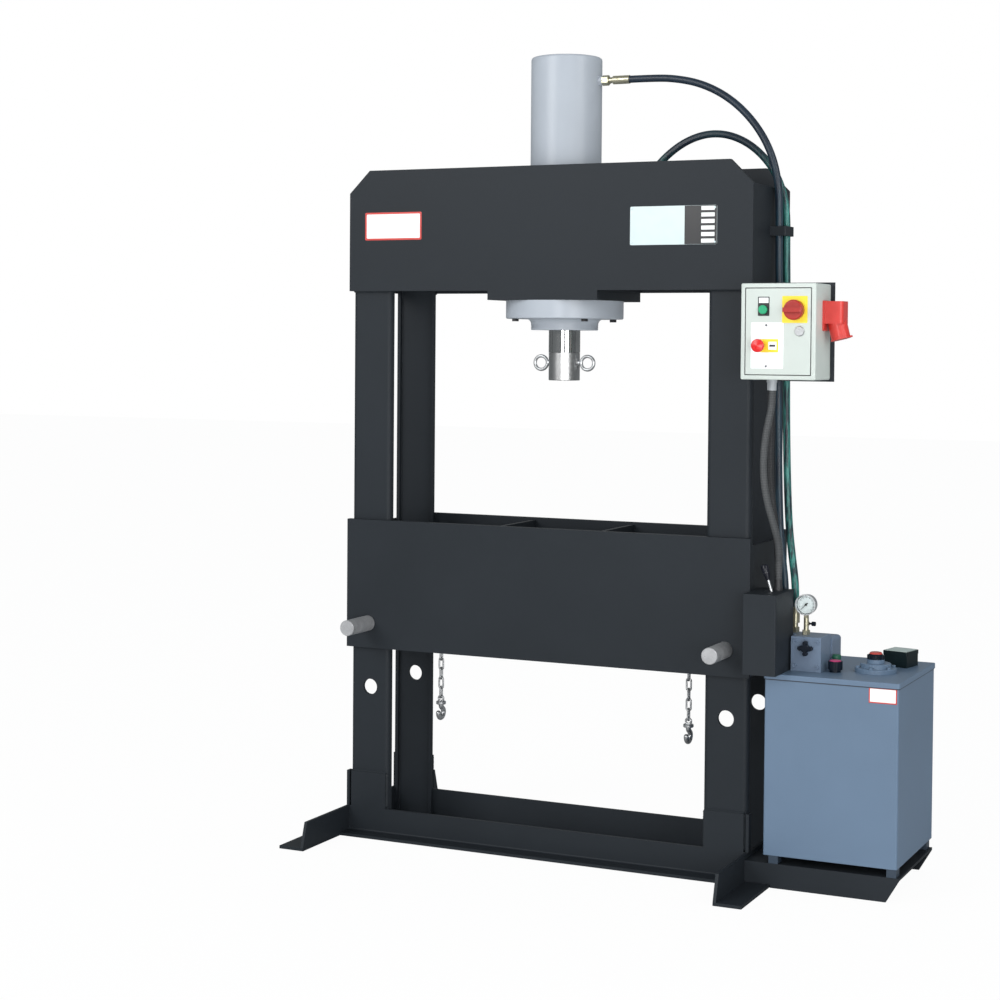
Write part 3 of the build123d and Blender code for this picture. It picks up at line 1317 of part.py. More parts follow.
UPPER_HOSE = (
    (TUBE_DIAMETER / 2 + UPPER_FITTING_LENGTH, 0, UPPER_PORT),
    (300, 0, UPPER_PORT),
    (378, 0, 2541),
    (470, 0, 2521),
    (556, 0, 2478),
    (628, 0, 2417),
    (684, 0, 2343),
    (719, 1, 2265),
    (735, 2, 2185),
    (CLAMP_UPPER[0], CLAMP_UPPER[1], 2095),
    (CLAMP_UPPER[0], CLAMP_UPPER[1], 1985),
    (744, -6, 1840),
    (747, -14, 1600),
    (752, -22, 1350),
    (762, -34, 1120),
    (778, -52, 1010),
    (HOSE_END_UPPER[0], HOSE_END_UPPER[1], 920),
    (HOSE_END_UPPER[0], HOSE_END_UPPER[1], BLOCK_TOP + UNION_HEIGHT),
)
LOWER_HOSE = (
    (TUBE_DIAMETER / 2 + ELBOW_OFFSET, 0, LOWER_PORT + ELBOW_RISE),
    (TUBE_DIAMETER / 2 + ELBOW_OFFSET, 0, 2022),
    (172, 2, 2082),
    (208, 4, 2142),
    (256, 8, 2196),
    (303, 12, 2242),
    (356, 16, 2298),
    (418, 22, 2340),
    (485, 30, 2361),
    (553, 36, 2357),
    (619, 42, 2328),
    (674, 47, 2280),
    (714, 50, 2222),
    (738, 49, 2160),
    (CLAMP_LOWER[0], CLAMP_LOWER[1], 2092),
    (CLAMP_LOWER[0], CLAMP_LOWER[1], 1988),
    (755, 40, 1840),
    (759, 30, 1600),
    (766, 20, 1350),
    (780, 4, 1120),
    (800, -18, 1010),
    (HOSE_END_LOWER[0], HOSE_END_LOWER[1], 920),
    (HOSE_END_LOWER[0], HOSE_END_LOWER[1], BLOCK_TOP + UNION_HEIGHT),
)
FRONT_CONDUIT = (
    (GLAND_FRONT_TOP[0], GLAND_FRONT_TOP[1], BOX_BOTTOM - GLAND_LENGTH),
    (GLAND_FRONT_TOP[0], GLAND_FRONT_TOP[1], 1496),
    (786, -231, 1450),
    (774, -229, 1392),
    (768, -226, 1325),
    (769, -222, 1258),
    (779, -214, 1190),
    (792, -190, 1122),
    (799, -162, 1068),
    (797, -143, 1020),
    (GLAND_FRONT_LOW[0], GLAND_FRONT_LOW[1], 985),
    (GLAND_FRONT_LOW[0], GLAND_FRONT_LOW[1], COVER_TOP + GLAND_LENGTH),
)
REAR_CONDUIT = (
    (GLAND_REAR_TOP[0], GLAND_REAR_TOP[1], BOX_BOTTOM - GLAND_LENGTH),
    (GLAND_REAR_TOP[0], GLAND_REAR_TOP[1], 1490),
    (777, -180, 1430),
    (771, -166, 1365),
    (767, -154, 1300),
    (767, -143, 1232),
    (772, -133, 1163),
    (779, -122, 1095),
    (782, -111, 1032),
    (GLAND_REAR_LOW[0], GLAND_REAR_LOW[1], 986),
    (GLAND_REAR_LOW[0], GLAND_REAR_LOW[1], COVER_TOP + GLAND_LENGTH),
)


# Writing the pieces
front_head = head_plate()
write("head_front_plate", front_head)
write("head_rear_plate", flip_y(front_head))
write("head_cross_plates", *head_cross_plates())
write("head_bolster", head_bolster())
right_front_column = column()
write("right_columns", right_front_column, flip_y(right_front_column))
write("left_columns", flip_x(right_front_column), flip_x(flip_y(right_front_column)))
front_beam = base_beam()
write("base_beams", front_beam, flip_y(front_beam))
right_foot = foot()
write("right_foot", right_foot)
write("left_foot", flip_x(right_foot))
write("power_unit_platform", power_unit_platform())
front_bed = bed_plate()
write("bed_front_plate", front_bed)
write("bed_rear_plate", flip_y(front_bed))
write("bed_cross_plates", *bed_cross_plates())
write("left_bed_pin", bed_pin(-1))
write("right_bed_pin", bed_pin(1))
write("left_chain", *chain(-1))
write("right_chain", *chain(1))
write("left_hook", hook(-1))
write("right_hook", hook(1))
write("cylinder_tube", cylinder_tube())
write("cylinder_flange", cylinder_flange())
write("flange_bolts", *flange_bolts())
write("rod_seal", rod_seal())
write("ram_rod", ram_rod())
write("piston_seals", *piston_seals())
write("ram_nose", ram_nose())
right_eye = lifting_eye()
write("lifting_eyes", right_eye, flip_x(right_eye))
write("box_bracket", box_bracket())
write("box_shell", box_shell())
write("control_gear", *control_gear())
write("box_door", box_door())
write("start_button", start_button())
write("stop_button", stop_button())
write("switch_handle", switch_handle())
write("door_lock", door_lock())
write("inlet_housing", inlet_housing())
write("inlet_lid", inlet_lid())
write("lever_cover", lever_cover())
write("control_lever", control_lever())
write("tank_shell", tank_shell())
write("tank_lid", tank_lid())
write("valve_block", *valve_block())
write("star_knob", star_knob())
write("gauge_case", gauge_case())
write("gauge_glass", gauge_glass())
write("gauge_needle", gauge_needle())
write("isolator_knob", isolator_knob())
write("lid_flange", lid_flange())
write("filler_cap", filler_cap())
write("relief_knob", relief_knob())
write("terminal_box", terminal_box())
write("pump_set", *pump_set())
write("motor_shaft", motor_shaft())
write(
    "pipe_fittings",
    upper_fitting(),
    lower_fitting(),
    union(HOSE_END_UPPER),
    union(HOSE_END_LOWER),
    gauge_stem(),
)
write("hose_clamp", hose_clamp())
write(
    "conduit_glands",
    gland(GLAND_FRONT_TOP, BOX_BOTTOM, -1),
    gland(GLAND_REAR_TOP, BOX_BOTTOM, -1),
    gland(GLAND_FRONT_LOW, COVER_TOP, 1),
    gland(GLAND_REAR_LOW, COVER_TOP, 1),
)
write("upper_hose", tube(UPPER_HOSE, HOSE_DIAMETER, "upper hose"))
write("lower_hose", tube(LOWER_HOSE, HOSE_DIAMETER, "lower hose"))
write("front_conduit", tube(FRONT_CONDUIT, CONDUIT_DIAMETER, "front conduit"))
write("rear_conduit", tube(REAR_CONDUIT, CONDUIT_DIAMETER, "rear conduit"))
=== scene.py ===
import math
import random

import bmesh
import bpy
from bpy.props import FloatProperty, FloatVectorProperty, IntProperty, PointerProperty
from mathutils import Matrix, Vector


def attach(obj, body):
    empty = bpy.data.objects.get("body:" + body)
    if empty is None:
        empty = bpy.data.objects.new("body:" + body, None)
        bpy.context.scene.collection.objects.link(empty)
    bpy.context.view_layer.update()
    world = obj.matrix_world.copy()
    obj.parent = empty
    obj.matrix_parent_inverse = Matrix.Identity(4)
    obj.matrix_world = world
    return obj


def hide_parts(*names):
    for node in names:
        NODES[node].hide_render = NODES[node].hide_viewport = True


bl_info = {
    "name": "Hydraulic workshop press",
    "version": (1, 0, 0),
    "blender": (4, 5, 0),
    "location": "View3D > Sidebar > Press",
    "description": "Dresses the packed press with paint, steel, rubber hoses and bare plates",
    "category": "Object",
}

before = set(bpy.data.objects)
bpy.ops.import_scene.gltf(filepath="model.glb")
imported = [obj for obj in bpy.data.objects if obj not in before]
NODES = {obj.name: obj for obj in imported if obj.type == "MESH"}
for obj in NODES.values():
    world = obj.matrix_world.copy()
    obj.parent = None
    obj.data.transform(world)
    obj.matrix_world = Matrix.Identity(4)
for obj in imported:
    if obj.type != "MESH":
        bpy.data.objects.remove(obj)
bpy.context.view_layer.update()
MM = 0.001


# Shader expressions

class Sock:
    """A node socket that takes part in plain arithmetic."""

    def __init__(self, maker, socket):
        self.maker = maker
        self.socket = socket

    def _math(self, operation, other, flip=False):
        pair = [self, other]
        if flip:
            pair.reverse()
        return self.maker.node("ShaderNodeMath", {"operation": operation}, pair)

    def __add__(self, other):
        return self._math("ADD", other)

    def __radd__(self, other):
        return self._math("ADD", other, True)

    def __sub__(self, other):
        return self._math("SUBTRACT", other)

    def __rsub__(self, other):
        return self._math("SUBTRACT", other, True)

    def __mul__(self, other):
        return self._math("MULTIPLY", other)

    def __rmul__(self, other):
        return self._math("MULTIPLY", other, True)


class Finish:
    """One material, or the world, built from nodes."""

    def __init__(self, name, store=None):
        self.owner = (bpy.data.materials if store is None else store).new(name)
        self.owner.use_nodes = True
        self.tree = self.owner.node_tree
        self.tree.nodes.clear()

    def node(self, kind, settings=None, values=(), out=0):
        """Adds a node with its settings, links and values, and gives one of its outputs."""
        made = self.tree.nodes.new(kind)
        for key, value in (settings or {}).items():
            setattr(made, key, value)
        pairs = values.items() if isinstance(values, dict) else enumerate(values)
        for key, value in pairs:
            if isinstance(value, Sock):
                self.tree.links.new(value.socket, made.inputs[key])
            else:
                made.inputs[key].default_value = value
        return Sock(self, made.outputs[out]) if made.outputs else None

    def place(self, scale=(1.0, 1.0, 1.0)):
        """The shaded point, stretched by a scale."""
        where = self.node("ShaderNodeTexCoord", out="Object")
        return self.node("ShaderNodeMapping", {}, {"Vector": where, "Scale": scale})

    def noise(self, scale, detail, rough, where=None):
        values = {"Scale": scale, "Detail": detail, "Roughness": rough}
        values["Vector"] = where or self.place()
        return self.node("ShaderNodeTexNoise", {}, values)

    def window(self, value, low, high):
        """0 below the low value and 1 above the high one."""
        values = {"Value": value, "From Min": low, "From Max": high}
        return self.node("ShaderNodeMapRange", {"clamp": True}, values)

    def level(self):
        """Height of the shaded point."""
        where = self.node("ShaderNodeTexCoord", out="Object")
        return self.node("ShaderNodeSeparateXYZ", {}, {"Vector": where}, out="Z")

    def mix(self, factor, a, b):
        """The first colour at factor 0 and the second at factor 1."""
        return self.node("ShaderNodeMix", {"data_type": "RGBA"}, {0: factor, 6: a, 7: b}, out=2)

    def bump(self, height, distance):
        return self.node("ShaderNodeBump", {}, {"Height": height, "Distance": distance})

    def surface(self, **values):
        """Ends the material in a plain surface with these values."""
        named = {key.replace("_", " "): value for key, value in values.items()}
        return self.end(self.node("ShaderNodeBsdfPrincipled", {}, named))

    def end(self, shader, output="ShaderNodeOutputMaterial"):
        """Ends the material or the world in a shader."""
        self.node(output, {}, {"Surface": shader})
        return self.owner


def rgb(colour):
    """A colour with full alpha."""
    return (colour[0], colour[1], colour[2], 1.0)


def tint(colour, factor):
    """A colour made lighter or darker, with full alpha."""
    return tuple(min(1.0, channel * factor) for channel in colour) + (1.0,)


# Finishes of this press

def enamel(name, colour, roughness=0.42, peel=0.00012, coat=0.1, gloss=0.4, feet_shade_height=None):
    """Sprayed machine enamel with a fine orange peel, a faint cloudiness and painted shade on its
    feet.
    """
    finish = Finish(name)
    cloud = finish.noise(2.3, detail=4.0, rough=0.55)
    fine = finish.noise(420.0, detail=2.0, rough=0.5)
    base = finish.mix(finish.window(cloud, 0.3, 0.7), tint(colour, 0.93), tint(colour, 1.07))
    # Painted shade: below the given height, on the tank's pads, the colour is darkened to 0.3 of its
    # tone.
    if feet_shade_height:
        above = finish.window(finish.level(), feet_shade_height * MM, (feet_shade_height + 1) * MM)
        base = finish.mix(above, tint(colour, 0.3), base)
    rough = roughness + (cloud - 0.5) * 0.12 + (fine - 0.5) * 0.08
    return finish.surface(
        Base_Color=base,
        Roughness=rough,
        Specular_IOR_Level=gloss,
        Coat_Weight=coat,
        Coat_Roughness=0.22,
        Normal=finish.bump(fine, peel),
    )


def turned_steel(name, colour, roughness):
    """Turned steel with fine lines round its upright axis and light stains."""
    finish = Finish(name)
    lines = finish.noise(900.0, detail=2.0, rough=0.5, where=finish.place((0.02, 0.02, 1.0)))
    cloud = finish.noise(14.0, detail=4.0, rough=0.6)
    base = finish.mix(finish.window(cloud, 0.35, 0.75), tint(colour, 1.05), tint(colour, 0.8))
    rough = roughness + (lines - 0.5) * 0.18 + (cloud - 0.5) * 0.15
    return finish.surface(
        Base_Color=base, Metallic=1.0, Roughness=rough, Normal=finish.bump(lines, 0.00004)
    )


def pin_steel(name):
    """Drawn bar with a pale, pitted skin and dark specks."""
    finish = Finish(name)
    pits = finish.noise(260.0, detail=4.0, rough=0.7)
    cloud = finish.noise(26.0, detail=4.0, rough=0.6)
    dull = finish.window(cloud, 0.35, 0.7)
    pale = finish.mix(dull, rgb((0.56, 0.56, 0.57)), rgb((0.40, 0.40, 0.41)))
    base = finish.mix(finish.window(pits, 0.62, 0.72), pale, rgb((0.10, 0.10, 0.105)))
    return finish.surface(
        Base_Color=base,
        Metallic=0.55,
        Roughness=0.42 + (cloud - 0.5) * 0.2,
        Normal=finish.bump(pits, 0.00015),
    )


def zinc(name, colour, roughness=0.34):
    """Bright zinc plate with a fine grain and slightly dull patches."""
    finish = Finish(name)
    grain = finish.noise(700.0, detail=2.0, rough=0.6)
    patch = finish.noise(60.0, detail=3.0, rough=0.6)
    base = finish.mix(finish.window(patch, 0.35, 0.7), tint(colour, 1.08), tint(colour, 0.82))
    rough = roughness + (patch - 0.5) * 0.3
    return finish.surface(
        Base_Color=base, Metallic=0.9, Roughness=rough, Normal=finish.bump(grain, 0.00005)
    )


def moulded(name, colour, roughness=0.45, gloss=0.5):
    """Moulded plastic with a fine spark-eroded grain."""
    finish = Finish(name)
    fine = finish.noise(900.0, detail=2.0, rough=0.55)
    cloud = finish.noise(35.0, detail=3.0, rough=0.5)
    base = finish.mix(finish.window(cloud, 0.3, 0.7), tint(colour, 0.94), tint(colour, 1.06))
    return finish.surface(
        Base_Color=base,
        Roughness=roughness + (cloud - 0.5) * 0.1,
        Specular_IOR_Level=gloss,
        Normal=finish.bump(fine, 0.00006),
    )


# Heights in metres between which one tone passes into the other
UPPER_GLANDS = (1.25, 1.30)
# The hoses' painted highlight fades out between these heights, going up.
HEAD_LEVELS = (2.15, 2.32)


def gland_plastic(name):
    """Grey plastic of the glands below the box, and the dark one of those on the cover."""
    finish = Finish(name)
    upper = finish.window(finish.level(), *UPPER_GLANDS)
    fine = finish.noise(900.0, detail=2.0, rough=0.5)
    return finish.surface(
        Base_Color=finish.mix(upper, rgb((0.03, 0.031, 0.034)), rgb((0.36, 0.38, 0.40))),
        Roughness=0.42 + (fine - 0.5) * 0.1,
        Normal=finish.bump(fine, 0.00006),
    )


def hose_cover(name, colour, sheen, highlight_colour):
    """Rubber hose cover: fine wrap marks of its cloth, a cloudy painted sheen, and painted highlight
    streaks below the head.
    """
    finish = Finish(name)
    wrap = finish.node(
        "ShaderNodeTexWave",
        {"wave_type": "BANDS", "bands_direction": "DIAGONAL"},
        {"Vector": finish.place(), "Scale": 140.0, "Distortion": 1.5, "Detail": 2.0},
        out="Fac",
    )
    cloud = finish.noise(9.0, detail=3.0, rough=0.6)
    highlight_streaks = finish.noise(110.0, detail=3.0, rough=0.6, where=finish.place((1.0, 1.0, 0.06)))
    below = 1.0 - finish.window(finish.level(), *HEAD_LEVELS)
    # Painted sheen: the cover's colour is clouded with a lighter tone.
    base = finish.mix(finish.window(cloud, 0.3, 0.7), rgb(colour), rgb(sheen))
    # Painted highlight: bright streaks along the hose, only below the head.
    lit = finish.window(highlight_streaks, 0.42, 0.62) * below
    return finish.surface(
        Base_Color=finish.mix(lit, base, rgb(highlight_colour)),
        Roughness=0.40 + (cloud - 0.5) * 0.16,
        Coat_Weight=0.2,
        Coat_Roughness=0.3,
        Normal=finish.bump(wrap, 0.00012),
    )


def corrugated(name, colour):
    """Grey spiral conduit, with painted shade in the grooves between its ribs."""
    finish = Finish(name)
    ribs_and_groove_shade = finish.node(
        "ShaderNodeTexWave",
        {"wave_type": "BANDS", "bands_direction": "Z"},
        {"Vector": finish.place(), "Scale": 62.0, "Distortion": 0.2},
        out="Fac",
    )
    cloud = finish.noise(22.0, detail=3.0, rough=0.5)
    base = finish.mix(finish.window(cloud, 0.3, 0.7), tint(colour, 0.90), tint(colour, 1.15))
    # Painted shade: the grooves between the ribs are darkened to 0.45 of the tone.
    base = finish.mix(ribs_and_groove_shade, tint(colour, 0.45), base)
    return finish.surface(
        Base_Color=base, Roughness=0.45 + (cloud - 0.5) * 0.1, Normal=finish.bump(ribs_and_groove_shade, 0.0006)
    )


def printed_foil(name, colour, roughness=0.35):
    """Plain plastic foil of a bare plate, a little uneven in gloss."""
    finish = Finish(name)
    cloud = finish.noise(30.0, detail=2.0, rough=0.5)
    base = finish.mix(finish.window(cloud, 0.3, 0.7), tint(colour, 0.98), tint(colour, 1.02))
    return finish.surface(
        Base_Color=base,
        Roughness=roughness + (cloud - 0.5) * 0.1,
        Coat_Weight=0.2,
        Coat_Roughness=0.15,
        Normal=finish.bump(cloud, 0.0001),
    )


def clear_glass(name):
    """The flat glass of the gauge."""
    finish = Finish(name)
    see_through = finish.node("ShaderNodeBsdfTransparent", {}, {"Color": (0.96, 0.98, 0.98, 1.0)})
    gloss = finish.node("ShaderNodeBsdfGlossy", {}, {"Roughness": 0.04})
    facing = finish.node("ShaderNodeFresnel", {}, {"IOR": 1.45})
    outside = 1.0 - finish.node("ShaderNodeNewGeometry", out="Backfacing")
    pane = finish.node("ShaderNodeMixShader", {}, [facing * outside, see_through, gloss])
    return finish.end(pane)


# Mesh helpers

SHARP_ANGLE = 35.0
CIRCLE_STEPS = 32


def piece(name, mesh_builder, material, body="frame", slot=None, smooth=True):
    """Makes one object from a bmesh, gives it a finish and lets it ride on its body."""
    mesh = bpy.data.meshes.new(name)
    shape = bmesh.new()
    mesh_builder(shape)
    bmesh.ops.recalc_face_normals(shape, faces=shape.faces)
    shape.to_mesh(mesh)
    shape.free()
    obj = bpy.data.objects.new(name, mesh)
    bpy.context.scene.collection.objects.link(obj)
    mesh.materials.append(material)
    if smooth:
        for face in mesh.polygons:
            face.use_smooth = True
        mesh.set_sharp_from_angle(angle=math.radians(SHARP_ANGLE))
    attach(obj, body)
    return obj


def loop_prism(shape, points, offset):
    """Extrudes a closed loop of points by a vector."""
    low = [shape.verts.new(Vector(p)) for p in points]
    high = [shape.verts.new(Vector(p) + Vector(offset)) for p in points]
    shape.faces.new(low)
    shape.faces.new(list(reversed(high)))
    for i, start in enumerate(low):
        j = (i + 1) % len(low)
        shape.faces.new((start, high[i], high[j], low[j]))


def round_rectangle(width, height, radius, steps=5):
    """Outline with rounded corners about the origin, as pairs of numbers."""
    points = []
    for sx, sy, turn in ((1, 1, 0), (-1, 1, 90), (-1, -1, 180), (1, -1, 270)):
        for step in range(steps + 1):
            angle = math.radians(turn + 90 * step / steps)
            x = sx * (width / 2 - radius) + radius * math.cos(angle)
            y = sy * (height / 2 - radius) + radius * math.sin(angle)
            points.append((x, y))
    return points


def circle(radius, steps=CIRCLE_STEPS, centre=(0.0, 0.0)):
    """Outline of a circle, as pairs of numbers."""
    turn = 2 * math.pi / steps
    return [
        (centre[0] + radius * math.cos(i * turn), centre[1] + radius * math.sin(i * turn))
        for i in range(steps)
    ]


def holed_plate(shape, outer, holes, thickness, place):
    """A flat plate with holes; its outlines lie in the plane of place, which maps x, y, depth."""
    rings = []
    for depth in (0.0, thickness):
        loops = []
        for outline in (outer, *holes):
            verts = [shape.verts.new(place(x, y, depth)) for x, y in outline]
            pairs = zip(verts, verts[1:] + verts[:1])
            loops.append((verts, [shape.edges.new(pair) for pair in pairs]))
        edges = [edge for _, es in loops for edge in es]
        bmesh.ops.triangle_fill(shape, edges=edges, use_beauty=True, use_dissolve=False)
        rings.append(loops)
    for (low, _), (high, _) in zip(*rings):
        for i, start in enumerate(low):
            j = (i + 1) % len(low)
            shape.faces.new((start, low[j], high[j], high[i]))


def on_front(x, z, y):
    """Maps plate coordinates onto a plane that faces the front at depth y."""
    return lambda u, v, depth: Vector((x + u, y - depth, z + v))


def front_plate(name, centre, size, y, thickness, radius, material, holes=(), **more):
    """A bare plate or label that lies on a face turned to the front."""
    place = on_front(centre[0] * MM, centre[1] * MM, y * MM)
    outer = round_rectangle(size[0] * MM, size[1] * MM, radius * MM)
    cuts = []
    for x, z, hole_radius in holes:
        offset = ((x - centre[0]) * MM, (z - centre[1]) * MM)
        cuts.append(circle(hole_radius * MM, CIRCLE_STEPS, offset))

    def build(shape):
        holed_plate(shape, outer, cuts, thickness * MM, place)

    return piece(name, build, material, smooth=False, **more)


def lathe(shape, profile, centre, axis, steps):
    """Turns a profile of radius and height about an axis through the centre."""
    turn = Vector((0, 0, 1)).rotation_difference(Vector(axis)).to_matrix()
    rings = []
    for radius, height in profile:
        ring = []
        if radius == 0:
            ring.append(shape.verts.new(Vector(centre) + turn @ Vector((0, 0, height))))
        else:
            for x, y in circle(radius, steps):
                ring.append(shape.verts.new(Vector(centre) + turn @ Vector((x, y, height))))
        rings.append(ring)
    for low, high in zip(rings, rings[1:]):
        for i in range(steps):
            j = (i + 1) % steps
            corners = ((low, i), (low, j), (high, j), (high, i))
            unique = list(dict.fromkeys(ring[k % len(ring)] for ring, k in corners))
            if len(unique) > 2:
                shape.faces.new(unique)
    for ring, flip in ((rings[0], True), (rings[-1], False)):
        if len(ring) > 2:
            shape.faces.new(list(reversed(ring)) if flip else ring)


def turned(name, profile, centre, axis, material, steps=CIRCLE_STEPS, **more):
    """A turned piece with its profile and centre in millimetres."""
    scaled = [(r * MM, h * MM) for r, h in profile]
    place = [c * MM for c in centre]

    def build(shape):
        lathe(shape, scaled, place, axis, steps)

    return piece(name, build, material, **more)


def screw_profile(diameter, height):
    """Half section of a domed screw head."""
    r = diameter / 2
    return [(r, 0), (r, height * 0.45), (r * 0.82, height * 0.85), (r * 0.45, height), (0, height)]


RIPPLE_PITCH = 0.0035
RIPPLE_HEIGHT = 0.09
RIPPLE_SCATTER = 0.06
BEAD_END = 0.45
BEAD_CROWN = 0.56
BEAD_ROOT = 0.0004


def weld_bead(shape, start, end, width, side_a, side_b, seed):
    """A fillet weld with its ripples, laid in the corner between two faces."""
    rng = random.Random(seed)
    start, end = Vector(start), Vector(end)
    run = end - start
    steps = max(2, int(run.length / RIPPLE_PITCH))
    a, b = Vector(side_a), Vector(side_b)
    rings = []
    for i in range(steps + 1):
        wave = RIPPLE_HEIGHT * math.cos(i * math.pi)
        ripple = 1.0 + wave + rng.uniform(-RIPPLE_SCATTER, RIPPLE_SCATTER)
        if i in (0, steps):
            ripple = BEAD_END
        at = start + run * (i / steps)
        size = width * ripple
        crown, root = (a + b) * size * BEAD_CROWN, (a + b) * BEAD_ROOT
        ring = (at + a * size, at + crown, at + b * size, at - root)
        rings.append([shape.verts.new(p) for p in ring])
    for low, high in zip(rings, rings[1:]):
        for i in range(4):
            j = (i + 1) % 4
            shape.faces.new((low[i], low[j], high[j], high[i]))
    shape.faces.new(rings[0])
    shape.faces.new(list(reversed(rings[-1])))


# Settings that a user would change

class PRESS_PG_settings(bpy.types.PropertyGroup):
    frame_colour: FloatVectorProperty(
        name="Frame colour", description="Enamel of the press frame", subtype="COLOR",
        size=3, min=0.0, max=1.0, default=(0.0175, 0.0215, 0.0265),
    )
    cylinder_colour: FloatVectorProperty(
        name="Cylinder colour", description="Enamel of the cylinder and its flange", subtype="COLOR",
        size=3, min=0.0, max=1.0, default=(0.378, 0.408, 0.452),
    )
    tank_colour: FloatVectorProperty(
        name="Tank colour", description="Enamel of the oil tank", subtype="COLOR",
        size=3, min=0.0, max=1.0, default=(0.113, 0.169, 0.248),
    )
    box_colour: FloatVectorProperty(
        name="Box colour", description="Enamel of the control box", subtype="COLOR",
        size=3, min=0.0, max=1.0, default=(0.52, 0.565, 0.53),
    )
    hose_colour: FloatVectorProperty(
        name="Hose colour", description="Rubber cover of the hoses", subtype="COLOR",
        size=3, min=0.0, max=1.0, default=(0.008, 0.014, 0.026),
    )
    bead_width: FloatProperty(
        name="Weld size", description="Leg of the fillet welds", subtype="DISTANCE", unit="LENGTH",
        min=0.002, max=0.012, default=0.0055,
    )
    plate_thickness: FloatProperty(
        name="Plate thickness", description="Thickness of the bare plates in millimetres",
        min=0.3, max=2.0, default=0.8,
    )
    dial_marks: IntProperty(
        name="Dial marks", description="Short marks round the gauge dial",
        min=11, max=101, default=51,
    )
    light_level: FloatProperty(
        name="Light level", description="Strength of the soft lamps", min=0.1, max=4.0, default=1.0,
    )


def settings():
    return bpy.context.scene.press_settings


def dress(finish, *names):
    """Gives carried-over nodes their finish."""
    for name in names:
        slots = NODES[name].data.materials
        if not slots:
            slots.append(finish)
        for index in range(len(slots)):
            slots[index] = finish


# Stage: camera, lamps, floor and backdrop

CAMERA_PLACE = (2.6773, -6.1764, 1.6778)
CAMERA_YAW = 25.254
CAMERA_PITCH = 1.620
CAMERA_ROLL = 0.451
CAMERA_LENS = 72.56
CAMERA_SHIFT = -0.1
SENSOR_WIDTH = 36.0
CLIP_END = 100.0

# Each lamp has its name, its place, the point it looks at, its size and its power
LAMPS = (
    ("key", (-3.0, -6.6, 4.2), (0.1, 0.0, 1.2), 3.4, 205.0),
    ("front", (1.3, -6.6, 1.3), (0.1, 0.0, 0.8), 1.5, 85.0),
    ("fill", (4.6, -5.2, 1.4), (0.3, 0.0, 0.9), 2.6, 112.0),
    ("side", (4.0, -1.5, 3.4), (0.1, 0.0, 2.3), 1.6, 32.0),
    ("rim", (-1.5, 5.5, 5.5), (0.2, 0.0, 1.6), 3.2, 30.0),
)
FLOOR_REACH = 30.0
FLOOR_DROP = 0.0004
FLOOR_GLOW = 0.96
FLOOR_PALE = (0.86, 0.86, 0.86)
FLOOR_MIRRORED = (0.30, 0.30, 0.30)
COOL = (0.91, 0.97, 1.0, 1.0)
WHITE = (1.0, 1.0, 1.0, 1.0)
SKY_LEVEL = 0.68
SKY_RAYS = (
    ("Is Glossy Ray", 0.22, COOL),
    ("Is Transmission Ray", 1.0, WHITE),
    ("Is Camera Ray", 1.0, WHITE),
)


def camera_matrix():
    """Place and turn of the photograph's camera."""
    yaw, pitch, roll = (math.radians(a) for a in (CAMERA_YAW, CAMERA_PITCH, CAMERA_ROLL))
    ahead = Vector(
        (-math.sin(yaw) * math.cos(pitch), math.cos(yaw) * math.cos(pitch), -math.sin(pitch))
    )
    right = Vector((math.cos(yaw), math.sin(yaw), 0.0))
    up = right.cross(ahead)
    right_rolled = math.cos(roll) * right + math.sin(roll) * up
    up_rolled = -math.sin(roll) * right + math.cos(roll) * up
    turn = Matrix((right_rolled, up_rolled, -ahead)).transposed()
    return Matrix.Translation(CAMERA_PLACE) @ turn.to_4x4()


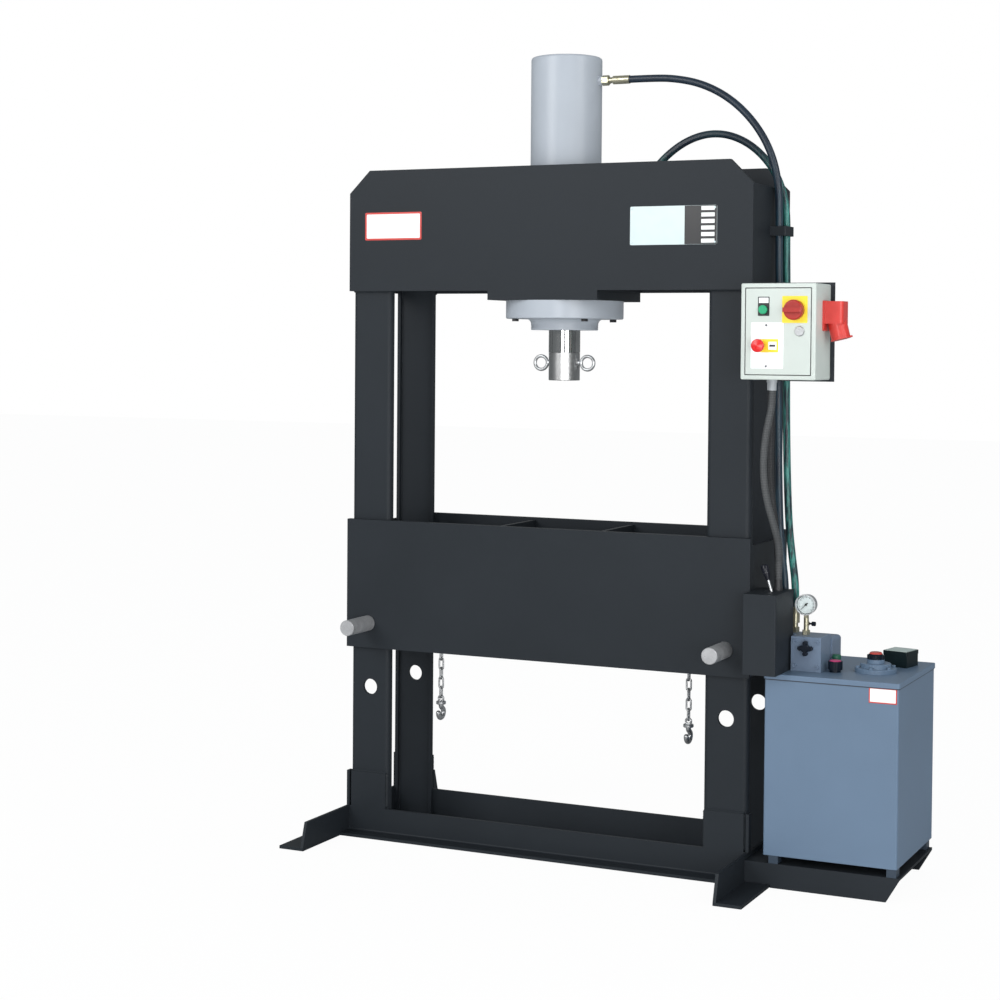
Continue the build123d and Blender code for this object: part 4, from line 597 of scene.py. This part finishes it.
class PRESS_OT_stage(bpy.types.Operator):
    """Sets the camera, the soft lamps, the pale floor and the backdrop"""

    bl_idname = "press.stage"
    bl_label = "Stage"

    def execute(self, context):
        scene = context.scene
        camera = bpy.data.cameras.new("camera")
        camera.lens = CAMERA_LENS
        camera.sensor_width = SENSOR_WIDTH
        camera.shift_y = CAMERA_SHIFT
        camera.clip_end = CLIP_END
        holder = bpy.data.objects.new("camera", camera)
        scene.collection.objects.link(holder)
        holder.matrix_world = camera_matrix()
        scene.camera = holder
        for lamp in LAMPS:
            self.lamp(*lamp)
        self.floor()
        self.world(scene)
        scene.view_settings.view_transform = "Standard"
        return {"FINISHED"}

    def lamp(self, name, place, target, size, power):
        """A square soft lamp that looks at its target."""
        data = bpy.data.lights.new(name, "AREA")
        data.shape = "SQUARE"
        data.size = size
        data.energy = power * settings().light_level
        lamp = bpy.data.objects.new(name, data)
        bpy.context.scene.collection.objects.link(lamp)
        lamp.location = place
        aim = Vector(target) - Vector(place)
        lamp.rotation_euler = aim.to_track_quat("-Z", "Y").to_euler()

    def floor(self):
        """A pale floor, nearly white to the camera and dim in reflections."""
        mesh = bpy.data.meshes.new("floor")
        sides = ((-1, -1), (1, -1), (1, 1), (-1, 1))
        corners = [(x * FLOOR_REACH, y * FLOOR_REACH, -FLOOR_DROP) for x, y in sides]
        mesh.from_pydata(corners, [], [(0, 1, 2, 3)])
        plane = bpy.data.objects.new("floor", mesh)
        bpy.context.scene.collection.objects.link(plane)
        finish = Finish("pale floor")
        mirrored = finish.node("ShaderNodeLightPath", out="Is Glossy Ray")
        shade = finish.mix(mirrored, rgb(FLOOR_PALE), rgb(FLOOR_MIRRORED))
        plain = finish.node("ShaderNodeBsdfDiffuse", {}, {"Color": shade})
        white = finish.node("ShaderNodeEmission", {}, {"Color": WHITE, "Strength": 1.0})
        seen = finish.node("ShaderNodeLightPath", out="Is Camera Ray")
        both = finish.node("ShaderNodeMixShader", {}, [seen * FLOOR_GLOW, plain, white])
        mesh.materials.append(finish.end(both))

    def world(self, scene):
        """White to the camera, soft for diffuse light and dim in reflections."""
        sky = Finish("studio", bpy.data.worlds)
        below = self.background(sky, SKY_LEVEL, COOL)
        for ray, level, colour in SKY_RAYS:
            seen = sky.node("ShaderNodeLightPath", out=ray)
            above = self.background(sky, level, colour)
            below = sky.node("ShaderNodeMixShader", {}, [seen, below, above])
        scene.world = sky.end(below, "ShaderNodeOutputWorld")

    def background(self, sky, level, colour):
        """One even tone of the world."""
        return sky.node("ShaderNodeBackground", {}, {"Color": colour, "Strength": level})


# Hoses and conduits

UPPER_HOSE = (
    (225, 0, 2545), (300, 0, 2545), (378, 0, 2541), (470, 0, 2521), (556, 0, 2478),
    (628, 0, 2417), (684, 0, 2343), (719, 1, 2265), (735, 2, 2185), (739, 2, 2095),
    (739, 2, 1985), (744, -6, 1840), (747, -14, 1600), (752, -22, 1350), (762, -34, 1120),
    (778, -52, 1010), (795, -68, 920), (795, -68, 853),
)
LOWER_HOSE = (
    (152, 0, 1965), (152, 0, 2022), (172, 2, 2082), (208, 4, 2142), (256, 8, 2196),
    (303, 12, 2242), (356, 16, 2298), (418, 22, 2340), (485, 30, 2361), (553, 36, 2357),
    (619, 42, 2328), (674, 47, 2280), (714, 50, 2222), (738, 49, 2160), (750, 46, 2092),
    (750, 46, 1988), (755, 40, 1840), (759, 30, 1600), (766, 20, 1350), (780, 4, 1120),
    (800, -18, 1010), (819, -37, 920), (819, -37, 853),
)
FRONT_CONDUIT = (
    (797, -232, 1539), (797, -232, 1496), (786, -231, 1450), (774, -229, 1392),
    (768, -226, 1325), (769, -222, 1258), (779, -214, 1190), (792, -190, 1122),
    (799, -162, 1068), (797, -143, 1020), (793, -136, 985), (793, -136, 948),
)
REAR_CONDUIT = (
    (779, -190, 1539), (779, -190, 1490), (777, -180, 1430), (771, -166, 1365),
    (767, -154, 1300), (767, -143, 1232), (772, -133, 1163), (779, -122, 1095),
    (782, -111, 1032), (783, -105, 986), (783, -105, 948),
)
HOSE_SIZE = 24.0
CONDUIT_SIZE = 22.0
CORNER_SHARE = 0.45


class PRESS_OT_lines(bpy.types.Operator):
    """Makes the two rubber hoses and the two conduits"""

    bl_idname = "press.lines"
    bl_label = "Hoses and conduits"

    def execute(self, context):
        colour = settings().hose_colour
        # The last two colours of each hose are its painted sheen tone and its painted highlight.
        upper = hose_cover("upper hose cover", colour, (0.011, 0.024, 0.042), (0.012, 0.040, 0.062))
        lower = hose_cover("lower hose cover", colour, (0.010, 0.030, 0.040), (0.040, 0.240, 0.205))
        front = corrugated("front conduit", (0.082, 0.086, 0.090))
        # The rear conduit is the same grey conduit, painted darker as shade of its place behind the
        # front one.
        rear = corrugated("rear conduit", (0.030, 0.031, 0.034))
        rubber, plastic = "hose_rubber", "conduit_plastic"
        for line in (
            ("hose_line_upper", "upper_hose", UPPER_HOSE, HOSE_SIZE, upper, rubber),
            ("hose_line_lower", "lower_hose", LOWER_HOSE, HOSE_SIZE, lower, rubber),
            ("conduit_front_line", "front_conduit", FRONT_CONDUIT, CONDUIT_SIZE, front, plastic),
            ("conduit_rear_line", "rear_conduit", REAR_CONDUIT, CONDUIT_SIZE, rear, plastic),
        ):
            self.line(*line)
        return {"FINISHED"}

    def line(self, name, node, route, diameter, finish, slot):
        """A round line along its route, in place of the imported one."""
        data = bpy.data.curves.new(name, "CURVE")
        data.dimensions = "3D"
        spline = data.splines.new("NURBS")
        spline.points.add(len(route) - 1)
        for point, place in zip(spline.points, route):
            point.co = (place[0] * MM, place[1] * MM, place[2] * MM, 1.0)
        spline.order_u = 3
        spline.use_endpoint_u = True
        spline.resolution_u = 8
        data.bevel_depth = diameter / 2 * MM
        data.bevel_resolution = 6
        data.use_fill_caps = True
        data.materials.append(finish)
        obj = bpy.data.objects.new(name, data)
        bpy.context.scene.collection.objects.link(obj)
        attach(obj, "frame")
        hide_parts(node)
        [c * MM for c in route[0]]
        tube_length(route) * MM
        diameter * MM


def tube_length(route):
    """Length of the hose itself, with its corners rounded as the runs allow."""
    points = [Vector(p) for p in route]
    runs = [b - a for a, b in zip(points, points[1:])]
    length = sum(run.length for run in runs)
    for first, second in zip(runs, runs[1:]):
        turn = first.angle(second)
        cut = CORNER_SHARE * min(first.length, second.length)
        length -= 2 * cut - cut / math.tan(turn / 2) * turn
    return length


# Frame

class PRESS_OT_frame_paint(bpy.types.Operator):
    """Paints the frame, the bed, the base and the cylinder"""

    bl_idname = "press.frame_paint"
    bl_label = "Frame and cylinder paint"

    def execute(self, context):
        values = settings()
        dark = enamel("frame enamel", values.frame_colour, 0.5, coat=0.02, gloss=0.2)
        dress(
            dark, "head_front_plate", "head_rear_plate", "head_cross_plates", "head_bolster",
            "left_columns", "right_columns", "base_beams", "left_foot", "right_foot",
            "power_unit_platform", "bed_front_plate", "bed_rear_plate", "bed_cross_plates",
            "box_bracket", "lever_cover", "hose_clamp",
        )
        barrel = enamel("cylinder enamel", values.cylinder_colour, 0.34)
        dress(barrel, "cylinder_tube", "cylinder_flange")
        return {"FINISHED"}


class PRESS_OT_steel(bpy.types.Operator):
    """Gives the ram, the pins, the chains and the fittings their steel"""

    bl_idname = "press.steel"
    bl_label = "Bare and plated steel"

    def execute(self, context):
        dress(turned_steel("ground rod", (0.60, 0.60, 0.60), 0.13), "ram_rod")
        dress(turned_steel("turned nose", (0.62, 0.62, 0.62), 0.34), "ram_nose")
        dress(pin_steel("drawn pin steel"), "left_bed_pin", "right_bed_pin")
        bright = zinc("bright zinc", (0.62, 0.63, 0.64))
        dress(
            bright, "left_chain", "right_chain", "left_hook", "right_hook", "lifting_eyes",
            "door_lock", "control_lever", "motor_shaft",
        )
        dress(zinc("yellow zinc", (0.60, 0.57, 0.42)), "pipe_fittings")
        dress(moulded("black oxide", (0.022, 0.022, 0.024), 0.35), "flange_bolts")
        dress(moulded("seal rubber", (0.02, 0.02, 0.02), 0.6), "rod_seal", "piston_seals")
        return {"FINISHED"}


COLUMN_FACE = 171
COLUMN_SIDES = (566, 708)
SPLICE_SIDES = (571, 703)
HEAD_UNDERSIDE = 1850
SPLICE_TOP = 211
SIDE_BEAD = (95, 209)


class PRESS_OT_welds(bpy.types.Operator):
    """Lays the fillet welds of the frame"""

    bl_idname = "press.welds"
    bl_label = "Welds"

    def execute(self, context):
        size = settings().bead_width
        beads = [bead for sx in (-1, 1) for sy in (-1, 1) for bead in self.beads(sx, sy)]
        finish = enamel("weld enamel", settings().frame_colour, 0.45, 0.0002, coat=0.02, gloss=0.3)

        def build(shape):
            for seed, (start, end, side_a, side_b) in enumerate(beads):
                weld_bead(shape, start, end, size, side_a, side_b, seed)

        piece("frame_welds", build, finish, slot="frame_paint")
        return {"FINISHED"}

    def beads(self, sx, sy):
        """Ends and sides of the beads on one column, which lies at sx and sy."""
        face = sy * COLUMN_FACE * MM
        outward = (0, sy, 0)
        rows = []
        for sides, level, way in (
            (COLUMN_SIDES, HEAD_UNDERSIDE, (0, 0, -1)), (SPLICE_SIDES, SPLICE_TOP, (0, 0, 1)),
        ):
            inner, outer = ((sx * side * MM, face, level * MM) for side in sides)
            rows.append((inner, outer, outward, way))
        for side, way in zip(SPLICE_SIDES, ((-sx, 0, 0), (sx, 0, 0))):
            low, high = ((sx * side * MM, face, level * MM) for level in SIDE_BEAD)
            rows.append((low, high, outward, way))
        return rows


HEAD_FACE = -191
TANK_FACE = -218
FIELD_HEIGHT = 0.2
FIELD_ROWS = 6
FIELD_TOP = 2105
FIELD_PITCH = 20.4
RIVET = (7, 2.2)


class PRESS_OT_plates(bpy.types.Operator):
    """Adds the bare plates and stickers of the head and the tank"""

    bl_idname = "press.plates"
    bl_label = "Bare plates"

    def execute(self, context):
        thin = settings().plate_thickness
        red = printed_foil("red foil", (0.55, 0.03, 0.02))
        white = printed_foil("white foil", (0.80, 0.80, 0.79))
        black = printed_foil("black foil", (0.018, 0.018, 0.02))
        silver = printed_foil("pale plate", (0.56, 0.65, 0.66), 0.3)
        rim, field = thin * 0.6, thin * 0.3
        top, height = HEAD_FACE - thin, FIELD_HEIGHT
        # Each plate has its centre, its size, the face it lies on, its thickness and its corners
        for row in (
            ("sticker_rim", (-548, 2067.5), (214, 93), HEAD_FACE, rim, 4, red),
            ("sticker_field", (-548, 2067.5), (202, 81), HEAD_FACE - rim, field, 3, white),
            ("name_plate", (452.5, 2053), (291, 122), HEAD_FACE, thin, 4, silver),
            ("name_plate_dark", (544, 2053), (107, 121), top, height, 2, black),
        ):
            front_plate(*row)
        for row in range(FIELD_ROWS):
            place = (568, FIELD_TOP - FIELD_PITCH * row)
            front_plate(f"plate_field_{row}", place, (44, 12.5), top - height, height, 1, white)
        rivet = screw_profile(*RIVET)
        for x in (314, 591):
            for z in (1999, 2107):
                turned(f"plate_rivet_{x}_{z}", rivet, (x, top, z), (0, -1, 0), silver, 20)
        front_plate("tank_sticker_rim", (1149, 624.5), (86, 47), TANK_FACE, rim, 2, red)
        inner = TANK_FACE - rim
        front_plate("tank_sticker_field", (1149, 624.5), (79, 40), inner, field, 1.5, white)
        return {"FINISHED"}


# Control box

DOOR_LEFT = 738.0
DOOR_RIGHT = 941.0
DOOR_LOW = 1589.0
DOOR_TOP = 1849.0
DOOR_JOINT = 0.8
DOOR_FACE = -320
DOOR_SEAL_RIM = 2.0
DOOR_SEAL_THICKNESS = 0.5
DOOR_SEAL_CORNERS = (2.5, 0.5)
PANEL_HEIGHT = 0.8
LEGEND_HEIGHT = 0.6
FIELD_RISE = 0.15
BAR_SEAT = 0.75
BAR_HEIGHT = 0.1
PANEL_SCREW = (7, 2.4)
# The bores round the operators, each with its place on the door and its radius
START_BORE = (794, 1785, 11.4)
STOP_BORE = (785, 1676, 11.4)
STOP_RING = (785, 1676, 11.3)
SWITCH_BORE = (892, 1784, 7.4)


class PRESS_OT_control_box(bpy.types.Operator):
    """Finishes the control box with its legend plates and operators"""

    bl_idname = "press.control_box"
    bl_label = "Control box"

    def execute(self, context):
        values = settings()
        grey = enamel("box enamel", values.box_colour, 0.4, 0.0002, 0.15)
        dress(grey, "box_shell", "box_door")
        dress(moulded("gear plastic", (0.2, 0.2, 0.2)), "control_gear")
        dress(gland_plastic("gland plastic"), "conduit_glands")
        dress(moulded("green button", (0.012, 0.32, 0.145), 0.3), "start_button")
        dress(moulded("red button", (0.62, 0.012, 0.012), 0.26), "stop_button")
        dress(moulded("red handle", (0.36, 0.018, 0.012), 0.33), "switch_handle")
        dress(moulded("inlet red", (0.60, 0.040, 0.032), 0.3), "inlet_housing", "inlet_lid")
        yellow = printed_foil("yellow foil", (0.90, 0.66, 0.03))
        white = printed_foil("white panel", (0.88, 0.90, 0.90))
        black = moulded("legend black", (0.02, 0.02, 0.022), 0.4)
        face, thick = DOOR_FACE, PANEL_HEIGHT
        panel = face - thick
        legend = panel - LEGEND_HEIGHT
        # Each plate has its centre, its size, the face it lies on, its thickness and its corners
        for row in (
            ("start_legend", (794, 1795), (36, 58), face, thick, 2, black, [START_BORE]),
            ("start_legend_field", (794, 1813), (30, 16), panel, FIELD_RISE, 1, white),
            ("stop_panel", (806, 1676.5), (102, 139), face, thick, 3, white, [STOP_BORE]),
            ("stop_legend", (812, 1676), (58, 40), panel, LEGEND_HEIGHT, 2, yellow, [STOP_RING]),
            ("stop_field", (823, 1676), (26, 24), legend, FIELD_RISE, 1, white),
            ("stop_bar", (823, 1676), (18, 6), panel - BAR_SEAT, BAR_HEIGHT, 0.5, black),
            ("switch_legend", (891.5, 1785.5), (79, 81), face, thick, 3, yellow, [SWITCH_BORE]),
        ):
            front_plate(*row, body="door")
        dark_metal = zinc("panel screw", (0.16, 0.16, 0.17))
        head = screw_profile(*PANEL_SCREW)
        for index, z in enumerate((1738, 1614)):
            place = (803, panel, z)
            turned(f"panel_screw_{index}", head, place, (0, -1, 0), dark_metal, 16, body="door")
        self.seal(black)
        return {"FINISHED"}

    def seal(self, rubber):
        """The dark seal in the joint round the door."""
        middle = ((DOOR_LEFT + DOOR_RIGHT) / 2, (DOOR_LOW + DOOR_TOP) / 2)
        width, height = DOOR_RIGHT - DOOR_LEFT, DOOR_TOP - DOOR_LOW
        play, rim = 2 * DOOR_JOINT, 2 * (DOOR_JOINT + DOOR_SEAL_RIM)
        outside, inside = (radius * MM for radius in DOOR_SEAL_CORNERS)
        outer = round_rectangle((width + rim) * MM, (height + rim) * MM, outside)
        hole = round_rectangle((width + play) * MM, (height + play) * MM, inside)
        place = on_front(middle[0] * MM, middle[1] * MM, DOOR_FACE * MM)

        def build(shape):
            holed_plate(shape, outer, [hole], DOOR_SEAL_THICKNESS * MM, place)

        piece("door_seal", build, rubber, smooth=False)


# Power unit

TERMINAL_CENTRE = (1116, 128, 715)
TERMINAL_TURN = -12.0
TERMINAL_PLATE = 76
TERMINAL_CORNER = 4
TERMINAL_RISE = 1.6
TANK_SIDES = (778, 1198, -218, 237)
PAD_TOP = 101.0
# Level, height, spread, play and corners of the dark strip of painted shade under the tank's lid.
LID_SHADE_LEVEL = 645.9
LID_SHADE_HEIGHT = 3
LID_SHADE_SPREAD = 3
LID_SHADE_PLAY = 0.2
LID_SHADE_CORNERS = (7, 6)
LEVER_PIVOT = (796, -172, 868)
LEVER_LEAN = 17.0
KNOB_FROM_PIVOT = 84.0
GAUGE_X = 866
GAUGE_LEVEL = 867
DIAL_FACE = -78.2
DIAL_THICKNESS = 0.4
DIAL_RADIUS = 29
DIAL_BORE = 2.4
DIAL_START = 225
DIAL_SWEEP = 270
MARK_OUTER = 26.0
LONG_MARK = (20.5, 0.5)
SHORT_MARK = (22.5, 0.25)
MARK_HEIGHT = 0.12
FILLER_TOP = (1077, -30, 721.6)
RELIEF_TOP = (966, -94, 699.2)
PLUG_FOOT = (952, -30, 665)
MANIFOLD_FACE = -130
MANIFOLD_SCREWS = ((846, 758), (918, 758), (846, 682), (918, 682))
# Half sections, each a row of radii with their heights
SOCKET_SCREW = ((6.5, 0), (6.5, 5.2), (5.9, 6), (3.2, 6), (3.2, 2.8), (0, 2.8))
GAUGE_RING = ((29.6, 0), (29.6, 0.6), (28.2, 0.6), (28.2, 0))
CAP_CROWN = ((20.6, 0), (20.0, 1.2), (17.8, 4.4), (16.2, 5.3), (0, 5.5))
KNOB_CROWN = ((18, 0), (18, 1.2), (16.5, 2.6), (9, 3.4), (0, 3.4))
LID_PLUG = ((14, 0), (14, 10), (11, 12), (11, 30), (14, 31), (14, 43), (12, 45), (0, 45))
GRIP = ((0, -0.3), (6.4, -0.3), (11.6, 27), (11.6, 44.6), (8.6, 49), (0, 50.5))


class PRESS_OT_power_unit(bpy.types.Operator):
    """Finishes the tank, the valve block, the gauge and the filler"""

    bl_idname = "press.power_unit"
    bl_label = "Power unit"

    def execute(self, context):
        values = settings()
        # The tank's pads below PAD_TOP get painted shade.
        paint = enamel("tank enamel", values.tank_colour, 0.42, feet_shade_height=PAD_TOP)
        dress(paint, "tank_shell", "tank_lid", "lid_flange")
        cast = enamel("valve enamel", (0.135, 0.185, 0.265), 0.36, 0.0003)
        dress(cast, "valve_block", "pump_set")
        black = moulded("knob black", (0.003, 0.007, 0.015), 0.36, 0.22)
        dress(black, "star_knob", "isolator_knob", "filler_cap", "relief_knob")
        dress(moulded("terminal box black", (0.004, 0.010, 0.012), 0.36, 0.25), "terminal_box")
        dress(zinc("gauge steel", (0.78, 0.79, 0.80), 0.42), "gauge_case")
        dress(clear_glass("gauge pane"), "gauge_glass")
        dress(moulded("needle black", (0.01, 0.01, 0.01), 0.5), "gauge_needle")
        self.dial()
        self.tops()
        return {"FINISHED"}

    def dial(self):
        """The pale dial with its marks."""
        pale = printed_foil("dial white", (0.92, 0.93, 0.93), 0.5)
        ink = printed_foil("dial black", (0.02, 0.02, 0.02), 0.5)
        centre = (GAUGE_X, DIAL_FACE, GAUGE_LEVEL)
        edge = ((DIAL_RADIUS, 0), (DIAL_RADIUS, DIAL_THICKNESS))
        bore = ((DIAL_BORE, DIAL_THICKNESS), (DIAL_BORE, 0))
        turned("gauge_dial", edge + bore, centre, (0, -1, 0), pale, 48)
        marks = settings().dial_marks
        middle = Vector((GAUGE_X, DIAL_FACE - DIAL_THICKNESS, GAUGE_LEVEL))

        def build(shape):
            for i in range(marks):
                turn = math.radians(DIAL_START - DIAL_SWEEP * i / (marks - 1))
                inner, half = SHORT_MARK if i % 5 else LONG_MARK
                along = Vector((math.cos(turn), 0, math.sin(turn)))
                across = Vector((-math.sin(turn), 0, math.cos(turn)))
                ends = ((inner, -half), (MARK_OUTER, -half), (MARK_OUTER, half), (inner, half))
                corners = [middle + along * r + across * s for r, s in ends]
                loop_prism(shape, [c * MM for c in corners], (0, -MARK_HEIGHT * MM, 0))

        piece("gauge_marks", build, ink, smooth=False)
        turned("gauge_ring", GAUGE_RING, centre, (0, -1, 0), ink, 48)

    def tops(self):
        """The coloured tops and the small pieces on the lid."""
        red = moulded("cap red", (0.42, 0.05, 0.04), 0.38)
        rose = moulded("knob rose", (0.45, 0.03, 0.14), 0.35)
        green = moulded("plug green", (0.02, 0.11, 0.065), 0.4)
        turned("filler_top", CAP_CROWN, FILLER_TOP, (0, 0, 1), red, 40, body="filler")
        turned("relief_top", KNOB_CROWN, RELIEF_TOP, (0, 0, 1), rose, 40, body="relief")
        turned("green_plug", LID_PLUG, PLUG_FOOT, (0, 0, 1), green)
        self.lid_shade_strip()
        self.terminal_lid()
        self.screws()
        self.lever_knob()

    def terminal_lid(self):
        """The pale inset plate on the lid of the terminal box."""
        pale = moulded("terminal lid", (0.40, 0.47, 0.45), 0.4)
        turn = Matrix.Rotation(math.radians(TERMINAL_TURN), 3, "Z")
        centre = Vector(TERMINAL_CENTRE)
        outline = round_rectangle(TERMINAL_PLATE, TERMINAL_PLATE, TERMINAL_CORNER)

        def build(shape):
            corners = [(centre + turn @ Vector((x, y, 0))) * MM for x, y in outline]
            loop_prism(shape, corners, (0, 0, TERMINAL_RISE * MM))

        piece("terminal_plate", build, pale, smooth=False)

    def screws(self):
        """Cap screws of the manifold, painted over with it."""
        paint = NODES["valve_block"].data.materials[0]
        for index, (x, z) in enumerate(MANIFOLD_SCREWS):
            place = (x, MANIFOLD_FACE, z)
            turned(f"manifold_screw_{index}", SOCKET_SCREW, place, (0, -1, 0), paint, 20)

    def lid_shade_strip(self):
        """A dark strip of painted shade under the lip of the tank's lid."""
        # Painted shade: a dark grey-blue ring stands in for the shade under the lid's lip.
        rubber = moulded("lid shade strip", (0.03, 0.036, 0.05), 0.6)
        left, right, front, rear = TANK_SIDES
        middle = Vector(((left + right) / 2, (front + rear) / 2, LID_SHADE_LEVEL)) * MM
        width, depth = right - left, rear - front
        spread, play = LID_SHADE_SPREAD, LID_SHADE_PLAY
        outside, inside = (radius * MM for radius in LID_SHADE_CORNERS)
        outer = round_rectangle((width + spread) * MM, (depth + spread) * MM, outside)
        hole = round_rectangle((width + play) * MM, (depth + play) * MM, inside)

        def place(u, v, rise):
            return middle + Vector((u, v, rise))

        def build(shape):
            holed_plate(shape, outer, [hole], LID_SHADE_HEIGHT * MM, place)

        piece("tank_lid_shade_strip", build, rubber, smooth=False)

    def lever_knob(self):
        """The dark hand knob over the lever's steel core."""
        lean = math.radians(LEVER_LEAN)
        along = Vector((-math.sin(lean), 0, math.cos(lean)))
        foot = Vector(LEVER_PIVOT) + along * KNOB_FROM_PIVOT
        black = moulded("grip black", (0.008, 0.009, 0.015), 0.3, 0.35)
        turned("lever_grip", GRIP, foot, along, black, body="lever")


class PRESS_PT_panel(bpy.types.Panel):
    """Panel with the press's pieces"""

    bl_idname = "PRESS_PT_panel"
    bl_label = "Hydraulic press"
    bl_space_type = "VIEW_3D"
    bl_region_type = "UI"
    bl_category = "Press"

    def draw(self, context):
        column = self.layout.column()
        values = context.scene.press_settings
        for name in PRESS_PG_settings.__annotations__:
            column.prop(values, name)
        for operator in PIECES:
            column.operator(operator.bl_idname)


PIECES = (
    PRESS_OT_stage,
    PRESS_OT_lines,
    PRESS_OT_frame_paint,
    PRESS_OT_steel,
    PRESS_OT_welds,
    PRESS_OT_plates,
    PRESS_OT_control_box,
    PRESS_OT_power_unit,
)
CLASSES = (PRESS_PG_settings, *PIECES, PRESS_PT_panel)


def register():
    for one in CLASSES:
        bpy.utils.register_class(one)
    bpy.types.Scene.press_settings = PointerProperty(type=PRESS_PG_settings)


def unregister():
    del bpy.types.Scene.press_settings
    for one in reversed(CLASSES):
        bpy.utils.unregister_class(one)


def main():
    register()
    for operator in PIECES:
        group, name = operator.bl_idname.split(".")
        getattr(getattr(bpy.ops, group), name)()


if __name__ == "__main__":
    main()
